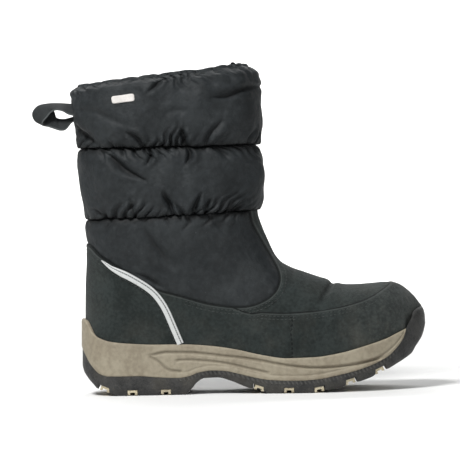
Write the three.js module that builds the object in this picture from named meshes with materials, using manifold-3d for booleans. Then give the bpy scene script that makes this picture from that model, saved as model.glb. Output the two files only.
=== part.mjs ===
// A pull-on snow boot for the right foot, about EU 39, as separate solids in one group.
// Millimetres. +X runs to the toe, +Z up, and -Y is the outer (lateral) side of the foot.
// Stations along the boot are measured from the back end of the sole; the exported group
// then moves them so that the origin lies on the floor under the middle of the heel.
//
// The boot is one smooth last-like surface. Every vertical plane through the ankle axis cuts
// it in one meridian, and all the upper's pieces are that surface moved in or out.

import * as THREE from 'three';
import { mergeVertices } from 'three/addons/utils/BufferGeometryUtils.js';
import Module from 'manifold-3d';

const wasm = await Module();
wasm.setup();

// ---- driving dimensions ----------------------------------------------------------------

const soleLength = 280;
const ankleX = 75;            // the vertical axis that the meridians share
const pivotZ = 30;            // height on that axis from which a meridian is swept
const heelCentreX = 54.5;     // the origin's station, in the middle of the heel
const gap = 0.3;              // clearance between pieces that meet
const soleWidth = 1;          // scale on the footprint table below
const ledge = 3.6;            // how far the sole stands out past the upper
const suede = 1.5;            // thickness of the suede panels
const wall = 3.0;             // lining, foam and nylon under the suede
const shaftThinner = 0.8;     // how much thinner the shaft's wall is at its seams
const insoleThickness = 5;
const coreStep = 1.2;         // how much higher than the side's colour line the hidden core starts
const skin = 4.5;             // thickness of the rubber and foam skins round the midsole's core
const toeSpread = 75;         // length over which the toe's outline closes
const heelSpread = 36;        // length over which the heel's outline closes
const collarBackZ = 252;
const collarFrontZ = 266;
const seamTopZ = 200;         // upper quilting seam
const seamLowBackZ = 142;     // lower quilting seam, at the back
const seamLowFrontZ = 147;    // lower quilting seam, at the front
const puff = 5.2;             // how far the quilted tiers swell past their seams
const belowFootbed = 8;       // how far the forms run on under the footbed before they are cut
const quarterPuff = 3.3;      // how far the nylon of the quarter swells past the suede
const collarDraw = 3.2;       // how far the elastic draws the collar in
const webbing = 2;            // thickness of the pull loop's webbing
const loopWidth = 15;         // width of that webbing
const grooveWidth = 8.4;      // notches between the lugs
const grooveDepth = 4.8;
const channelWidth = 3.8;     // slot along the liner of a notch
const channelDepth = 1.9;
const linerSetback = 0.7;     // how far a liner's feet stay short of the lugs' faces
const topZ = 300;             // beyond the boot on every side, for closing cutting outlines
const frontX = 300;
const behindX = -60;

// ---- short tables ----------------------------------------------------------------------

// Footprint: half the sole's width and the middle line's sideways place (+Y is inwards).
const footprint = [
  { x: 0, half: 35.6, middle: 0 },
  { x: 36, half: 35.6, middle: 0 },
  { x: 75, half: 34.8, middle: -1.8 },
  { x: 105, half: 33.4, middle: -3.8 },
  { x: 135, half: 36.5, middle: -5.5 },
  { x: 160, half: 42.0, middle: -5.5 },
  { x: 185, half: 47.0, middle: -3.5 },
  { x: 207, half: 49.0, middle: -1.2 },
  { x: 245, half: 49.0, middle: 3.0 },
  { x: 280, half: 49.0, middle: 7.0 },
];

// Underside of the lugs: heel bevel, heel rest, arch, ball rest, toe spring.
const underside = [
  { x: 0, z: 17 }, { x: 5, z: 11 }, { x: 10, z: 7 }, { x: 17, z: 3.6 }, { x: 25, z: 1.2 },
  { x: 32, z: 0 }, { x: 82, z: 0 }, { x: 89, z: 5 }, { x: 93, z: 9.7 }, { x: 99, z: 13 },
  { x: 110, z: 13.4 }, { x: 121, z: 10.4 }, { x: 133, z: 5.4 }, { x: 144, z: 1.6 },
  { x: 152, z: 0 }, { x: 188, z: 0 }, { x: 198, z: 1.8 }, { x: 212, z: 4.8 },
  { x: 226, z: 8.8 }, { x: 240, z: 13.8 }, { x: 255, z: 21.5 }, { x: 263, z: 26 },
  { x: 270, z: 31 }, { x: 277, z: 39 }, { x: 280, z: 45 },
];

// Footbed: top of the midsole under the insole.
const footbed = [
  { x: 0, z: 31 }, { x: 45, z: 30 }, { x: 90, z: 28 }, { x: 130, z: 22 }, { x: 165, z: 18.5 },
  { x: 190, z: 19 }, { x: 215, z: 22.5 }, { x: 240, z: 28.5 }, { x: 262, z: 35.5 },
  { x: 280, z: 42.5 },
];

// Back of the boot and half the shaft's width, by height.
const shaft = [
  { z: 20, back: 5, half: 32.6 }, { z: 60, back: 5.2, half: 33 }, { z: 88, back: 5.9, half: 35.8 },
  { z: 112, back: 7.2, half: 39 }, { z: 143, back: 6.6, half: 42 }, { z: 172, back: 4, half: 44 },
  { z: 200, back: 1, half: 46 }, { z: 232, back: -2, half: 48 }, { z: 275, back: -3, half: 48 },
];

// Front outline from beyond the toe, over the vamp, up the front of the shaft.
const crest = [
  { x: 312, z: 26 }, { x: 294, z: 46 }, { x: 281, z: 60 }, { x: 275, z: 66.6 },
  { x: 269.6, z: 73.8 }, { x: 260, z: 82.2 }, { x: 250, z: 85.2 }, { x: 230, z: 83.9 },
  { x: 214, z: 84 }, { x: 206, z: 85.6 }, { x: 199, z: 88.8 }, { x: 184, z: 94.2 },
  { x: 169, z: 100 }, { x: 160.2, z: 106.8 }, { x: 155, z: 116 }, { x: 151, z: 126 },
  { x: 147, z: 136 }, { x: 144.5, z: 146 }, { x: 144.5, z: 170 }, { x: 146, z: 200 },
  { x: 147.5, z: 232 }, { x: 147.5, z: 290 },
];

// Side view of where the beige midsole ends against the dark outsole, toe tip to heel back.
const rubberLine = [
  { x: 263, z: 49.3 }, { x: 260.5, z: 42.5 }, { x: 253.5, z: 33.5 }, { x: 245, z: 26.6 },
  { x: 224, z: 18.4 }, { x: 202, z: 13.4 }, { x: 190, z: 11.4 }, { x: 174, z: 10.6 },
  { x: 154, z: 11.2 }, { x: 140, z: 13.4 }, { x: 128, z: 16.4 }, { x: 116, z: 19 },
  { x: 105, z: 19.6 }, { x: 94, z: 18 }, { x: 87, z: 15.4 }, { x: 78, z: 14.2 },
  { x: 62, z: 15 }, { x: 46, z: 16.2 }, { x: 22, z: 16.4 }, { x: 15, z: 18.2 },
  { x: 8, z: 25 }, { x: 2, z: 35.5 }, { x: -6, z: 50 },
];

// Side view of the midsole's top edge, heel back to toe tip.
const midsoleTop = [
  { x: -6, z: 63 }, { x: 2.3, z: 61 }, { x: 8.5, z: 52 }, { x: 15.5, z: 46.8 }, { x: 24, z: 44 },
  { x: 38, z: 42.3 }, { x: 60, z: 41 }, { x: 82, z: 40.8 }, { x: 102, z: 39.4 },
  { x: 124, z: 36.2 }, { x: 145, z: 31.4 }, { x: 166, z: 28.4 }, { x: 188, z: 28.9 },
  { x: 210, z: 32 }, { x: 231, z: 37.4 }, { x: 246, z: 42 }, { x: 256, z: 46.4 },
  { x: 263, z: 49.3 },
];

// Side view of the toe bumper's top edge, from the midsole's tip forwards.
const bumperTop = [
  { x: 263, z: 49.3 }, { x: 267, z: 56 }, { x: 273, z: 62.2 }, { x: 278, z: 65 },
  { x: 292, z: 67 },
];

// Side view of the suede's edge against the nylon quarter, from the back seam round to the
// lower quilting seam at the front.
const quarterEdge = [
  { x: -6, z: 124 }, { x: 9, z: 121 }, { x: 19, z: 111.6 }, { x: 38, z: 99.4 },
  { x: 58, z: 86.6 }, { x: 82, z: 79 }, { x: 104, z: 72.4 }, { x: 126, z: 69.4 },
  { x: 139, z: 70.4 }, { x: 150.5, z: 74.8 }, { x: 158.4, z: 81.4 }, { x: 161.8, z: 89.4 },
  { x: 160.8, z: 97.4 }, { x: 156.6, z: 106 }, { x: 151.4, z: 115.5 }, { x: 145.6, z: 126 },
  { x: 140, z: 137.5 }, { x: 138.5, z: 147 },
];

// Side view of the heel counter's front edge, under the reflective tape.
const tapeLine = [
  { x: 57.5, z: 84.6 }, { x: 66, z: 74 }, { x: 72, z: 61 }, { x: 77.5, z: 49 },
  { x: 83, z: 36 }, { x: 88, z: 18 }, { x: 90, z: 0 },
];

// Side view of the apron seam between the vamp and the mudguard, from the quarter to the toe.
const apronSeam = [
  { x: 131, z: 66.2 }, { x: 148, z: 65 }, { x: 165, z: 64 }, { x: 183, z: 64.4 },
  { x: 200, z: 66 }, { x: 216, z: 68.6 }, { x: 231, z: 73 }, { x: 243, z: 79 },
  { x: 253, z: 86 }, { x: 260, z: 96 },
];

// Side view of the pull loop's middle line, from its sewn foot round and back.
const loopPath = [
  { x: -4.9, z: 222 }, { x: -4.9, z: 229 }, { x: -4.9, z: 236 }, { x: -14, z: 236.8 },
  { x: -27, z: 234.6 }, { x: -36, z: 228 }, { x: -27, z: 220.4 }, { x: -14, z: 219.4 },
];

// Stations of the notches between the lugs.
const heelGrooves = [18, 41, 68];
const ballGrooves = [142.5, 167, 191.5, 217, 241];

// ---- tables to curves ------------------------------------------------------------------

// A smooth function through a table's rows that never swings past them (monotone cubic), so
// that a level stretch stays level.
function through(rows, from, to) {
  const t = rows.map((r) => r[from]);
  const v = rows.map((r) => r[to]);
  const last = t.length - 1;
  const rise = t.slice(1).map((_, i) => (v[i + 1] - v[i]) / (t[i + 1] - t[i]));
  const slope = t.map((_, i) => {
    if (i === 0 || i === last) return i === 0 ? rise[0] : rise[last - 1];
    return rise[i - 1] * rise[i] <= 0 ? 0 : (2 * rise[i - 1] * rise[i]) / (rise[i - 1] + rise[i]);
  });
  return (at) => {
    const x = Math.min(Math.max(at, t[0]), t[last]);
    let i = 0;
    while (i < last - 1 && x > t[i + 1]) i++;
    const h = t[i + 1] - t[i];
    const s = (x - t[i]) / h;
    const a = (1 + 2 * s) * (1 - s) ** 2 * v[i] + s * (1 - s) ** 2 * h * slope[i];
    const b = s * s * (3 - 2 * s) * v[i + 1] + s * s * (s - 1) * h * slope[i + 1];
    return a + b;
  };
}

const halfAt = through(footprint, 'x', 'half');
const middleAt = through(footprint, 'x', 'middle');
const undersideAt = through(underside, 'x', 'z');
const footbedAt = through(footbed, 'x', 'z');
const backAt = through(shaft, 'z', 'back');
const shaftHalfAt = through(shaft, 'z', 'half');

const clamp = (v, low, high) => Math.min(Math.max(v, low), high);
const mix = (a, b, t) => a + (b - a) * t;
const ease = (low, high, v) => {
  const t = clamp((v - low) / (high - low), 0, 1);
  return t * t * (3 - 2 * t);
};
// A quarter of a superellipse: 0 at the edge, 1 from depth 1 inwards.
const round = (depth, p) => (depth <= 0 ? 0 : (1 - (1 - Math.min(depth, 1)) ** p) ** (1 / p));

// Half width of the sole's outline at a station, closed round the heel and the toe.
function soleHalf(x) {
  const toe = round((soleLength - x) / toeSpread, 2.35);
  const heel = round(x / heelSpread, 2.2);
  return soleWidth * halfAt(x) * toe * heel;
}

// A side view line as a smooth run of 2D points.
function sideLine(rows, steps) {
  const curve = new THREE.SplineCurve(rows.map((r) => new THREE.Vector2(r.x, r.z)));
  return curve.getPoints(steps);
}

function distanceTo(line, x, z) {
  let best = Infinity;
  for (let i = 0; i < line.length - 1; i++) {
    const a = line[i];
    const dx = line[i + 1].x - a.x;
    const dz = line[i + 1].y - a.y;
    const t = clamp(((x - a.x) * dx + (z - a.y) * dz) / (dx * dx + dz * dz), 0, 1);
    best = Math.min(best, Math.hypot(x - a.x - t * dx, z - a.y - t * dz));
  }
  return best;
}

function isWithin(outline, x, z) {
  let inside = false;
  outline.forEach((a, i) => {
    const b = outline[(i + 1) % outline.length];
    if (a.y > z !== b.y > z && x < a.x + ((z - a.y) / (b.y - a.y)) * (b.x - a.x)) inside = !inside;
  });
  return inside;
}

// ---- the boot's surface ----------------------------------------------------------------

const crestLine = sideLine(crest, 66);
const behindCrest = [...crestLine, new THREE.Vector2(behindX, topZ), new THREE.Vector2(behindX, -topZ),
  new THREE.Vector2(312, -topZ)];
const quarterLine = sideLine(quarterEdge, 50);
const quarterArea = [...quarterLine, new THREE.Vector2(-6, 150)];

// Half width of the closed boot at a point of its side view: the foot's width low down and
// the shaft's width high up, closed by a round toe, a round back and a round crest.
function bootHalf(x, z) {
  const back = backAt(z);
  if (x <= back || x >= soleLength - ledge || !isWithin(behindCrest, x, z)) return 0;
  const high = ease(55, 143, z);
  const low = halfAt(x) * (1 - ledge / 49);
  const toe = round((soleLength - ledge - x) / (toeSpread - ledge), 2.35);
  const heel = round((x - back) / mix(heelSpread - 2, 66, high), 2.2);
  const crestRadius = mix(60, 32, ease(160, 240, x));
  const top = round(distanceTo(crestLine, x, z) / crestRadius, 2.4);
  return mix(low, shaftHalfAt(z), high) * toe * heel * top;
}

const bootMiddle = (x, z) => middleAt(x) * (1 - ease(60, 125, z));

// The meridian at an azimuth: points of the surface from below the footbed to past the
// collar, swept about the pivot on the ankle axis.
const sweepSteps = 120;
const sweepFrom = -34;
const sweepTo = 83;
function meridian(azimuth) {
  const points = [];
  for (let i = 0; i <= sweepSteps; i++) {
    const tilt = THREE.MathUtils.degToRad(mix(sweepFrom, sweepTo, i / sweepSteps));
    const along = new THREE.Vector3(
      Math.cos(tilt) * Math.cos(azimuth), Math.cos(tilt) * Math.sin(azimuth), Math.sin(tilt));
    let near = 0;
    let far = 340;
    for (let step = 0; step < 36; step++) {
      const r = (near + far) / 2;
      const x = ankleX + r * along.x;
      const z = pivotZ + r * along.z;
      const half = bootHalf(x, z);
      const inside = half > 0 && Math.abs(r * along.y - bootMiddle(x, z)) < half;
      if (inside) near = r;
      else far = r;
    }
    points.push(new THREE.Vector3(ankleX, 0, pivotZ).addScaledVector(along, near));
  }
  return points;
}

const seamLowAt = (x) => mix(seamLowBackZ, seamLowFrontZ, clamp((x - 9) / 135, 0, 1));
const collarAt = (x) => mix(collarBackZ, collarFrontZ, clamp(x / 140, 0, 1));

// Rows of a form: the foot, the middle tier and the collar tier, each from 0 to 1.
const footRows = 11;
const tierRows = [0.08, 0.3, 0.65, 0.92, 1];
const rowPlaces = [
  ...Array.from({ length: footRows + 1 }, (_, i) => ({ tier: 0, t: i / footRows })),
  ...tierRows.map((t) => ({ tier: 1, t })),
  ...tierRows.map((t) => ({ tier: 2, t })),
];

// Splits a meridian at the footbed, the two seams and the collar, and spreads the rows evenly
// along each stretch.
function rowsOf(points) {
  const along = [0];
  for (let i = 1; i < points.length; i++) along.push(along[i - 1] + points[i].distanceTo(points[i - 1]));
  const crossing = (height) => {
    for (let i = points.length - 1; i > 0; i--) {
      const low = points[i - 1].z - height(points[i - 1].x);
      const high = points[i].z - height(points[i].x);
      if (low <= 0 && high > 0) return mix(along[i - 1], along[i], low / (low - high));
    }
    throw new Error('a meridian misses a level');
  };
  const marks = [crossing(footbedAt), crossing(seamLowAt), crossing(() => seamTopZ), crossing(collarAt)];
  const pointAt = (s) => {
    let i = 1;
    while (i < along.length - 1 && along[i] < s) i++;
    return points[i - 1].clone().lerp(points[i], (s - along[i - 1]) / (along[i] - along[i - 1]));
  };
  return rowPlaces.map(({ tier, t }) => pointAt(mix(marks[tier], marks[tier + 1], t)));
}

// Azimuths that share out the foot's outline and the shaft's outline fairly.
const columns = 40;
function spreadAzimuths() {
  const fine = 1440;
  const total = [0];
  const angles = [0];
  const place = (a) => {
    const x = (soleLength / 2) * (1 + Math.cos(a));
    const y = middleAt(x) + (Math.sin(a) < 0 ? -1 : 1) * soleHalf(x);
    return new THREE.Vector2(x - ankleX, y);
  };
  let before = place(0);
  for (let i = 1; i <= fine; i++) {
    const now = place((2 * Math.PI * i) / fine);
    let turn = now.angle() - before.angle();
    if (turn < -Math.PI) turn += 2 * Math.PI;
    total.push(total[i - 1] + now.distanceTo(before) + 90 * Math.max(turn, 0));
    angles.push(angles[i - 1] + turn);
    before = now;
  }
  const start = place(0).angle();
  return Array.from({ length: columns }, (_, c) => {
    const want = (total[fine] * c) / columns;
    const i = total.findIndex((v) => v >= want);
    if (i <= 0) return start;
    const t = (want - total[i - 1]) / (total[i] - total[i - 1]);
    return start + mix(angles[i - 1], angles[i], t);
  });
}

const azimuths = spreadAzimuths();
const surface = azimuths.map((a) => rowsOf(meridian(a)));
const normals = surface.map((column, c) => column.map((_, r) => {
  const left = surface[(c + columns - 1) % columns][r];
  const right = surface[(c + 1) % columns][r];
  const below = column[Math.max(r - 1, 0)];
  const above = column[Math.min(r + 1, column.length - 1)];
  return right.clone().sub(left).cross(above.clone().sub(below)).normalize();
}));

// ---- solids ----------------------------------------------------------------------------

function solidOf(geometry) {
  const bare = geometry.clone();
  bare.deleteAttribute('normal');
  bare.deleteAttribute('uv');
  const merged = mergeVertices(bare, 1e-4);
  return new wasm.Manifold(new wasm.Mesh({
    numProp: 3,
    vertProperties: new Float32Array(merged.attributes.position.array),
    triVerts: new Uint32Array(merged.index.array),
  }));
}

function geometryOf(solid) {
  const mesh = solid.getMesh();
  const geometry = new THREE.BufferGeometry();
  geometry.setAttribute('position', new THREE.BufferAttribute(new Float32Array(mesh.vertProperties), 3));
  geometry.setIndex(new THREE.BufferAttribute(new Uint32Array(mesh.triVerts), 1));
  geometry.computeVertexNormals();
  return geometry;
}

// A closed geometry from rings of equal length, with both end rings closed by strips that
// join the ring's two sides.
function stackGeometry(rings) {
  const n = rings[0].length;
  const positions = rings.flat().flatMap((p) => [p.x, p.y, p.z]);
  const index = [];
  for (let r = 0; r < rings.length - 1; r++) {
    for (let c = 0; c < n; c++) {
      const a = r * n + c;
      const b = r * n + ((c + 1) % n);
      index.push(a, b, b + n, a, b + n, a + n);
    }
  }
  const strip = (base, flip) => {
    for (let c = 0; c < n / 2; c++) {
      const a = base + c;
      const b = base + c + 1;
      const d = base + ((n - c) % n);
      const e = base + n - c - 1;
      const faces = [[a, d, b], [b, d, e]];
      faces.filter((f) => new Set(f).size === 3)
        .forEach((f) => index.push(...(flip ? f.reverse() : f)));
    }
  };
  strip(0, false);
  strip((rings.length - 1) * n, true);
  const geometry = new THREE.BufferGeometry();
  geometry.setAttribute('position', new THREE.Float32BufferAttribute(positions, 3));
  geometry.setIndex(index);
  return geometry;
}

// The boot's surface moved outwards by `offset(row place, point)`, closed below the footbed and
// past the collar by `over`. `keep` picks its rows.
function bootForm(offset, over = 0, keep = () => true) {
  const rings = rowPlaces.map((place, r) => surface.map((column, c) => {
    const p = column[r].clone().addScaledVector(normals[c][r], offset(place, column[r]));
    if (r === 0) p.z = footbedAt(p.x) - belowFootbed;
    if (r === rowPlaces.length - 1) p.z = column[r].z + over;
    return p;
  }));
  return solidOf(stackGeometry(rings.filter((_, r) => keep(rowPlaces[r], r))));
}

// A prism across the boot from a closed side view outline of 2D points.
function sidePrism(points, width = 160) {
  const geometry = new THREE.ExtrudeGeometry(new THREE.Shape(points), {
    depth: width, bevelEnabled: false,
  });
  geometry.rotateX(Math.PI / 2).translate(0, width / 2, 0);
  return solidOf(geometry);
}

// A side view line moved to its left by `distance`.
function shifted(line, distance) {
  return line.map((p, i) => {
    const a = line[Math.max(i - 1, 0)];
    const b = line[Math.min(i + 1, line.length - 1)];
    const along = b.clone().sub(a).normalize();
    return new THREE.Vector2(p.x - along.y * distance, p.y + along.x * distance);
  });
}

const corner = (x, z) => new THREE.Vector2(x, z);
const straight = (rows) => rows.map((r) => corner(r.x, r.z));

// ---- sole ------------------------------------------------------------------------------

// Stations along the sole, closer at the heel breast and round the ends.
const stations = [
  0, 0.8, 3, 7, 13, 20, 32, 46, 62, 76, 82, 85.5, 89, 93, 99, 110, 121, 133, 144, 152, 164, 176,
  188, 198, 212, 226, 240, 250, 258, 265, 270.5, 275, 278, 279.4, 280,
];

// Levels of the sole's side wall: how far it is drawn in, and its height over the underside.
const sideLevels = [
  { inset: 2.6, rise: 0 }, { inset: 1.0, rise: 2.2 }, { inset: 0, rise: 6.5 },
];
const wallTop = { inset: 1.4, z: 78 };  // above every top edge of the sole

function soleRing(inset, height) {
  const scale = (soleLength - 2 * inset) / soleLength;
  const place = (x, side) => {
    const at = inset + x * scale;
    const half = soleHalf(x) * (1 - inset / 42);
    return new THREE.Vector3(at, middleAt(x) + side * half, height(at));
  };
  const out = stations.map((x) => place(x, -1));
  const home = stations.slice(1, -1).reverse().map((x) => place(x, 1));
  return [...out, ...home];
}

function soleForm(levels, top) {
  const rings = levels.map((l) => soleRing(l.inset, (x) => undersideAt(x) + l.rise));
  rings.push(soleRing(top.inset, () => top.z));
  return solidOf(stackGeometry(rings));
}

const soleBody = soleForm(sideLevels, wallTop);
const coreBody = (extra) => {
  const inset = skin - extra;
  return soleForm([{ inset, rise: 0 }], { inset, z: wallTop.z });
};

// Side view of the midsole's core, which runs on inside the bumper and the heel's rubber.
const coreBottom = [
  ...straight([{ x: 260, z: 31.5 }, { x: 256, z: 28 }, { x: 241, z: 20.6 }]),
  ...straight(rubberLine).slice(4, -4),
  ...straight([{ x: 12, z: 16.6 }, { x: 7.5, z: 18 }]),
];
const coreOutline = (extra) => [
  ...shifted(coreBottom, extra - coreStep), corner(7.5 - extra, 50),
  ...shifted(straight(midsoleTop).slice(2, -1), extra - 1), corner(260 + extra, 45.4 + extra),
];

const lowerEdge = sideLine(rubberLine, 66);
const upperEdge = sideLine(midsoleTop, 54);
const beigeArea = [...lowerEdge, ...upperEdge.slice(0, -1)];
const darkArea = [
  ...shifted(lowerEdge, gap), corner(-30, 55), corner(-30, -20), corner(310, -20),
  ...sideLine(bumperTop, 12).reverse().slice(0, -1), corner(263.6, 49.8),
];

// A groove or a liner across the sole, as a profile about the groove's middle that follows the
// underside's slope.
function acrossSole(x, profile) {
  const slope = Math.atan2(undersideAt(x + 3) - undersideAt(x - 3), 6);
  return sidePrism(profile.map(([u, v]) => corner(
    x + u * Math.cos(slope) - v * Math.sin(slope),
    undersideAt(x) + u * Math.sin(slope) + v * Math.cos(slope),
  )));
}

const grooveProfile = [
  [-grooveWidth / 2, -6], [grooveWidth / 2, -6], [grooveWidth / 2, grooveDepth],
  [-grooveWidth / 2, grooveDepth],
];

// The liner is an upside-down channel, set back a little from the lugs' faces.
function linerProfile() {
  const half = grooveWidth / 2 - gap;
  const top = grooveDepth - gap;
  const foot = linerSetback;
  const slot = channelWidth / 2;
  const roof = linerSetback + channelDepth;
  return [
    [-half, foot], [-slot, foot], [-slot, roof], [slot, roof], [slot, foot], [half, foot],
    [half, top], [-half, top],
  ];
}

const footbedLine = (rise) => [behindX, ...stations.filter((_, i) => i % 3 === 0), frontX]
  .map((x) => corner(x, footbedAt(x) + rise));
const overFootbed = (rise) => sidePrism([
  ...footbedLine(rise), corner(frontX, topZ), corner(behindX, topZ),
]);

// The cup is the boot's outside with its clearance, down to the footbed.
const cup = bootForm(() => gap).intersect(overFootbed(0));

const grooves = [...heelGrooves, ...ballGrooves];
let outsole = soleBody.intersect(sidePrism(darkArea)).subtract(cup)
  .subtract(coreBody(gap).intersect(sidePrism(coreOutline(gap))));
grooves.forEach((x) => { outsole = outsole.subtract(acrossSole(x, grooveProfile)); });

const midsole = soleBody.intersect(sidePrism(beigeArea))
  .add(coreBody(0).intersect(sidePrism(coreOutline(0))))
  .subtract(cup);

const linerBody = soleForm(sideLevels.map((l) => ({ ...l, inset: l.inset + gap })), wallTop);
const liners = grooves.map((x) => acrossSole(x, linerProfile()).intersect(linerBody));

// ---- upper -----------------------------------------------------------------------------

// How far the nylon stands out past the suede's face: it swells between the quilting seams
// and away from the suede's edge, and is drawn in at the elastic of the collar.
const swell = (t) => Math.sqrt(4 * t * (1 - t));
function nylonFace({ tier, t }, p) {
  if (tier === 0) {
    const fromEdge = isWithin(quarterArea, p.x, p.z) ? distanceTo(quarterLine, p.x, p.z) : 0;
    return quarterPuff * ease(0, 16, Math.min(fromEdge, 3 * (seamLowAt(p.x) - p.z)));
  }
  const flatBack = 1 - 0.7 * ease(30, 4, p.x);
  return puff * flatBack * swell(t) - (tier === 2 ? collarDraw * ease(0.8, 1, t) : 0);
}
const underSuede = -(suede + gap);
const liningFace = ({ tier }) => underSuede - wall + (tier === 0 ? 0 : shaftThinner);

const nylonArea = [...quarterLine, corner(frontX, seamLowFrontZ), corner(frontX, topZ),
  corner(behindX, topZ), corner(behindX, quarterEdge[0].z)];
const lowRows = ({ tier }) => tier < 2;
const footHull = bootForm(() => underSuede, 0, lowRows).intersect(overFootbed(gap));
const nylonHull = bootForm(nylonFace).intersect(sidePrism(nylonArea));
const liningRows = ({ tier, t }, r) => (tier === 0 ? r % 2 === 0 || t === 1 : t > 0.9 || t === 0.3);
const liningForm = bootForm(liningFace, 20, liningRows);
const upper = footHull.add(nylonHull).subtract(liningForm);

const insoleArea = [...footbedLine(gap), ...footbedLine(gap + insoleThickness).reverse()];
const insole = bootForm((place) => liningFace(place) - gap, 0, liningRows)
  .intersect(sidePrism(insoleArea));

// ---- suede overlays --------------------------------------------------------------------

const suedeSkin = bootForm(() => 0, 0, lowRows).subtract(bootForm(() => -suede, 10, lowRows))
  .intersect(overFootbed(gap));
const tape = sideLine(tapeLine, 24);
const apron = sideLine(apronSeam, 40);
const underQuarter = shifted(quarterLine, -gap);
const behindTape = (p) => p.x < tape[0].x;
const counterArea = [
  ...underQuarter.filter(behindTape), ...shifted(tape, -gap / 2),
  corner(behindX, 0), corner(behindX, quarterEdge[0].z - gap),
];
const mudguardArea = [
  ...shifted(tape, gap / 2).reverse(),
  ...underQuarter.filter((p) => p.x > tape[0].x && p.x < apron[0].x),
  ...shifted(apron, -gap / 2), corner(frontX, 110), corner(frontX, 0),
];
const vampArea = [
  ...underQuarter.filter((p) => p.x > apron[0].x && p.y < seamLowFrontZ - 1),
  corner(138.9, seamLowFrontZ - gap), corner(frontX, seamLowFrontZ - gap), corner(frontX, 112),
  ...shifted(apron, gap / 2).reverse(),
];
const overlay = (area) => suedeSkin.intersect(sidePrism(area));

// ---- pull loop -------------------------------------------------------------------------

const loopCurve = new THREE.CatmullRomCurve3(
  loopPath.map((r) => new THREE.Vector3(r.x, r.z, 0)), true);
const loopMiddle = loopCurve.getPoints(28).slice(0, -1);
function loopSide(distance) {
  const n = loopMiddle.length;
  return loopMiddle.map((p, i) => {
    const along = loopMiddle[(i + 1) % n].clone().sub(loopMiddle[(i + n - 1) % n]).normalize();
    return corner(p.x - along.y * distance, p.y + along.x * distance);
  });
}
const pullLoop = sidePrism(loopSide(-webbing / 2), loopWidth)
  .subtract(sidePrism(loopSide(webbing / 2), loopWidth + 2))
  .subtract(bootForm((place, p) => nylonFace(place, p) + gap));

// ---- the boot --------------------------------------------------------------------------

const finish = (colour, roughness) => new THREE.MeshStandardMaterial({
  color: colour, roughness, metalness: 0, side: THREE.DoubleSide,
});
const rubber = finish('#3e3d3e', 0.75);
const foam = finish('#988c78', 0.7);
const cream = finish('#d9cfb4', 0.65);
const nylon = finish('#323634', 0.45);
const suedeFinish = finish('#3a3e3c', 0.92);
const felt = finish('#4b4e4d', 0.95);
const strap = finish('#2b2d2d', 0.7);

const boot = new THREE.Group();
function add(name, solid, material) {
  const mesh = new THREE.Mesh(geometryOf(solid), material);
  mesh.name = name;
  mesh.position.x = -heelCentreX;
  boot.add(mesh);
}

add('outsole', outsole, rubber);
add('midsole', midsole, foam);
liners.forEach((liner, i) => {
  const name = i < heelGrooves.length
    ? `heel_insert_${i + 1}` : `forefoot_insert_${i + 1 - heelGrooves.length}`;
  add(name, liner, cream);
});
add('upper', upper, nylon);
add('insole', insole, felt);
add('heel_counter', overlay(counterArea), suedeFinish);
add('mudguard', overlay(mudguardArea), suedeFinish);
add('vamp', overlay(vampArea), suedeFinish);
add('pull_loop', pullLoop, strap);

export default boot;
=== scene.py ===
import bmesh
import bpy
import numpy as np
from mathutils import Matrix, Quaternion, Vector
from mathutils.bvhtree import BVHTree


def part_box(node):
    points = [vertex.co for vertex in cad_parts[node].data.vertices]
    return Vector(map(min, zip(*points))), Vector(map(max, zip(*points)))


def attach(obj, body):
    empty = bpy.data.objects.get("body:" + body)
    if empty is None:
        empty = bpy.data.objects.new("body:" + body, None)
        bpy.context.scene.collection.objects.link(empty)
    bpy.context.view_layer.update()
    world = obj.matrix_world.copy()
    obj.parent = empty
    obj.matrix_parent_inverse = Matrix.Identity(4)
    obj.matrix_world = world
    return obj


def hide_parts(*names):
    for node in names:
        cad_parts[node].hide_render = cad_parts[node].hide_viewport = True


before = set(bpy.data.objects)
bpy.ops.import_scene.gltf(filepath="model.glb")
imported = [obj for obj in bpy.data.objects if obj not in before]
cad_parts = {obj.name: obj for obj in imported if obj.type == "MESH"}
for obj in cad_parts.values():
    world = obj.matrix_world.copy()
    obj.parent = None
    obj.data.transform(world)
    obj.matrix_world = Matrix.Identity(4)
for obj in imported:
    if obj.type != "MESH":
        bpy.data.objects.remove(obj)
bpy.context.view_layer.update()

# ---- outsole ----
# The outsole is one moulding of dark rubber: lugs below with notches across, a wrap up the back
# of the heel and a bumper over the toe. It is pressed in a mould and cemented to the midsole.

MM = 0.001
sole_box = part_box("outsole")
SOLE_LENGTH = (sole_box[1].x - sole_box[0].x) / MM
OUTER, INNER = -1, 1  # sides of the right foot, as signs of y

# Stations (mm from the back of the sole) of the footprint's half width and middle line.
HALF_WIDTH = [(0, 35.6), (36, 35.6), (75, 34.8), (105, 33.4), (135, 36.5), (160, 42), (185, 47),
              (207, 49), (245, 49), (280, 49)]
MIDDLE = [(0, 0), (36, 0), (75, -1.8), (105, -3.8), (135, -5.5), (160, -5.5), (185, -3.5),
          (207, -1.2), (245, 3), (280, 7)]
# Underside of the lugs: heel bevel, heel rest, arch, ball rest and toe spring.
UNDERSIDE = [(0, 17), (5, 11), (10, 7), (17, 3.6), (25, 1.2), (32, 0), (82, 0), (89, 5), (93, 9.7),
             (99, 13), (110, 13.4), (121, 10.4), (133, 5.4), (144, 1.6), (152, 0), (188, 0),
             (198, 1.8), (212, 4.8), (226, 8.8), (240, 13.8), (255, 21.5), (263, 26), (270, 31),
             (277, 39), (280, 45)]
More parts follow.
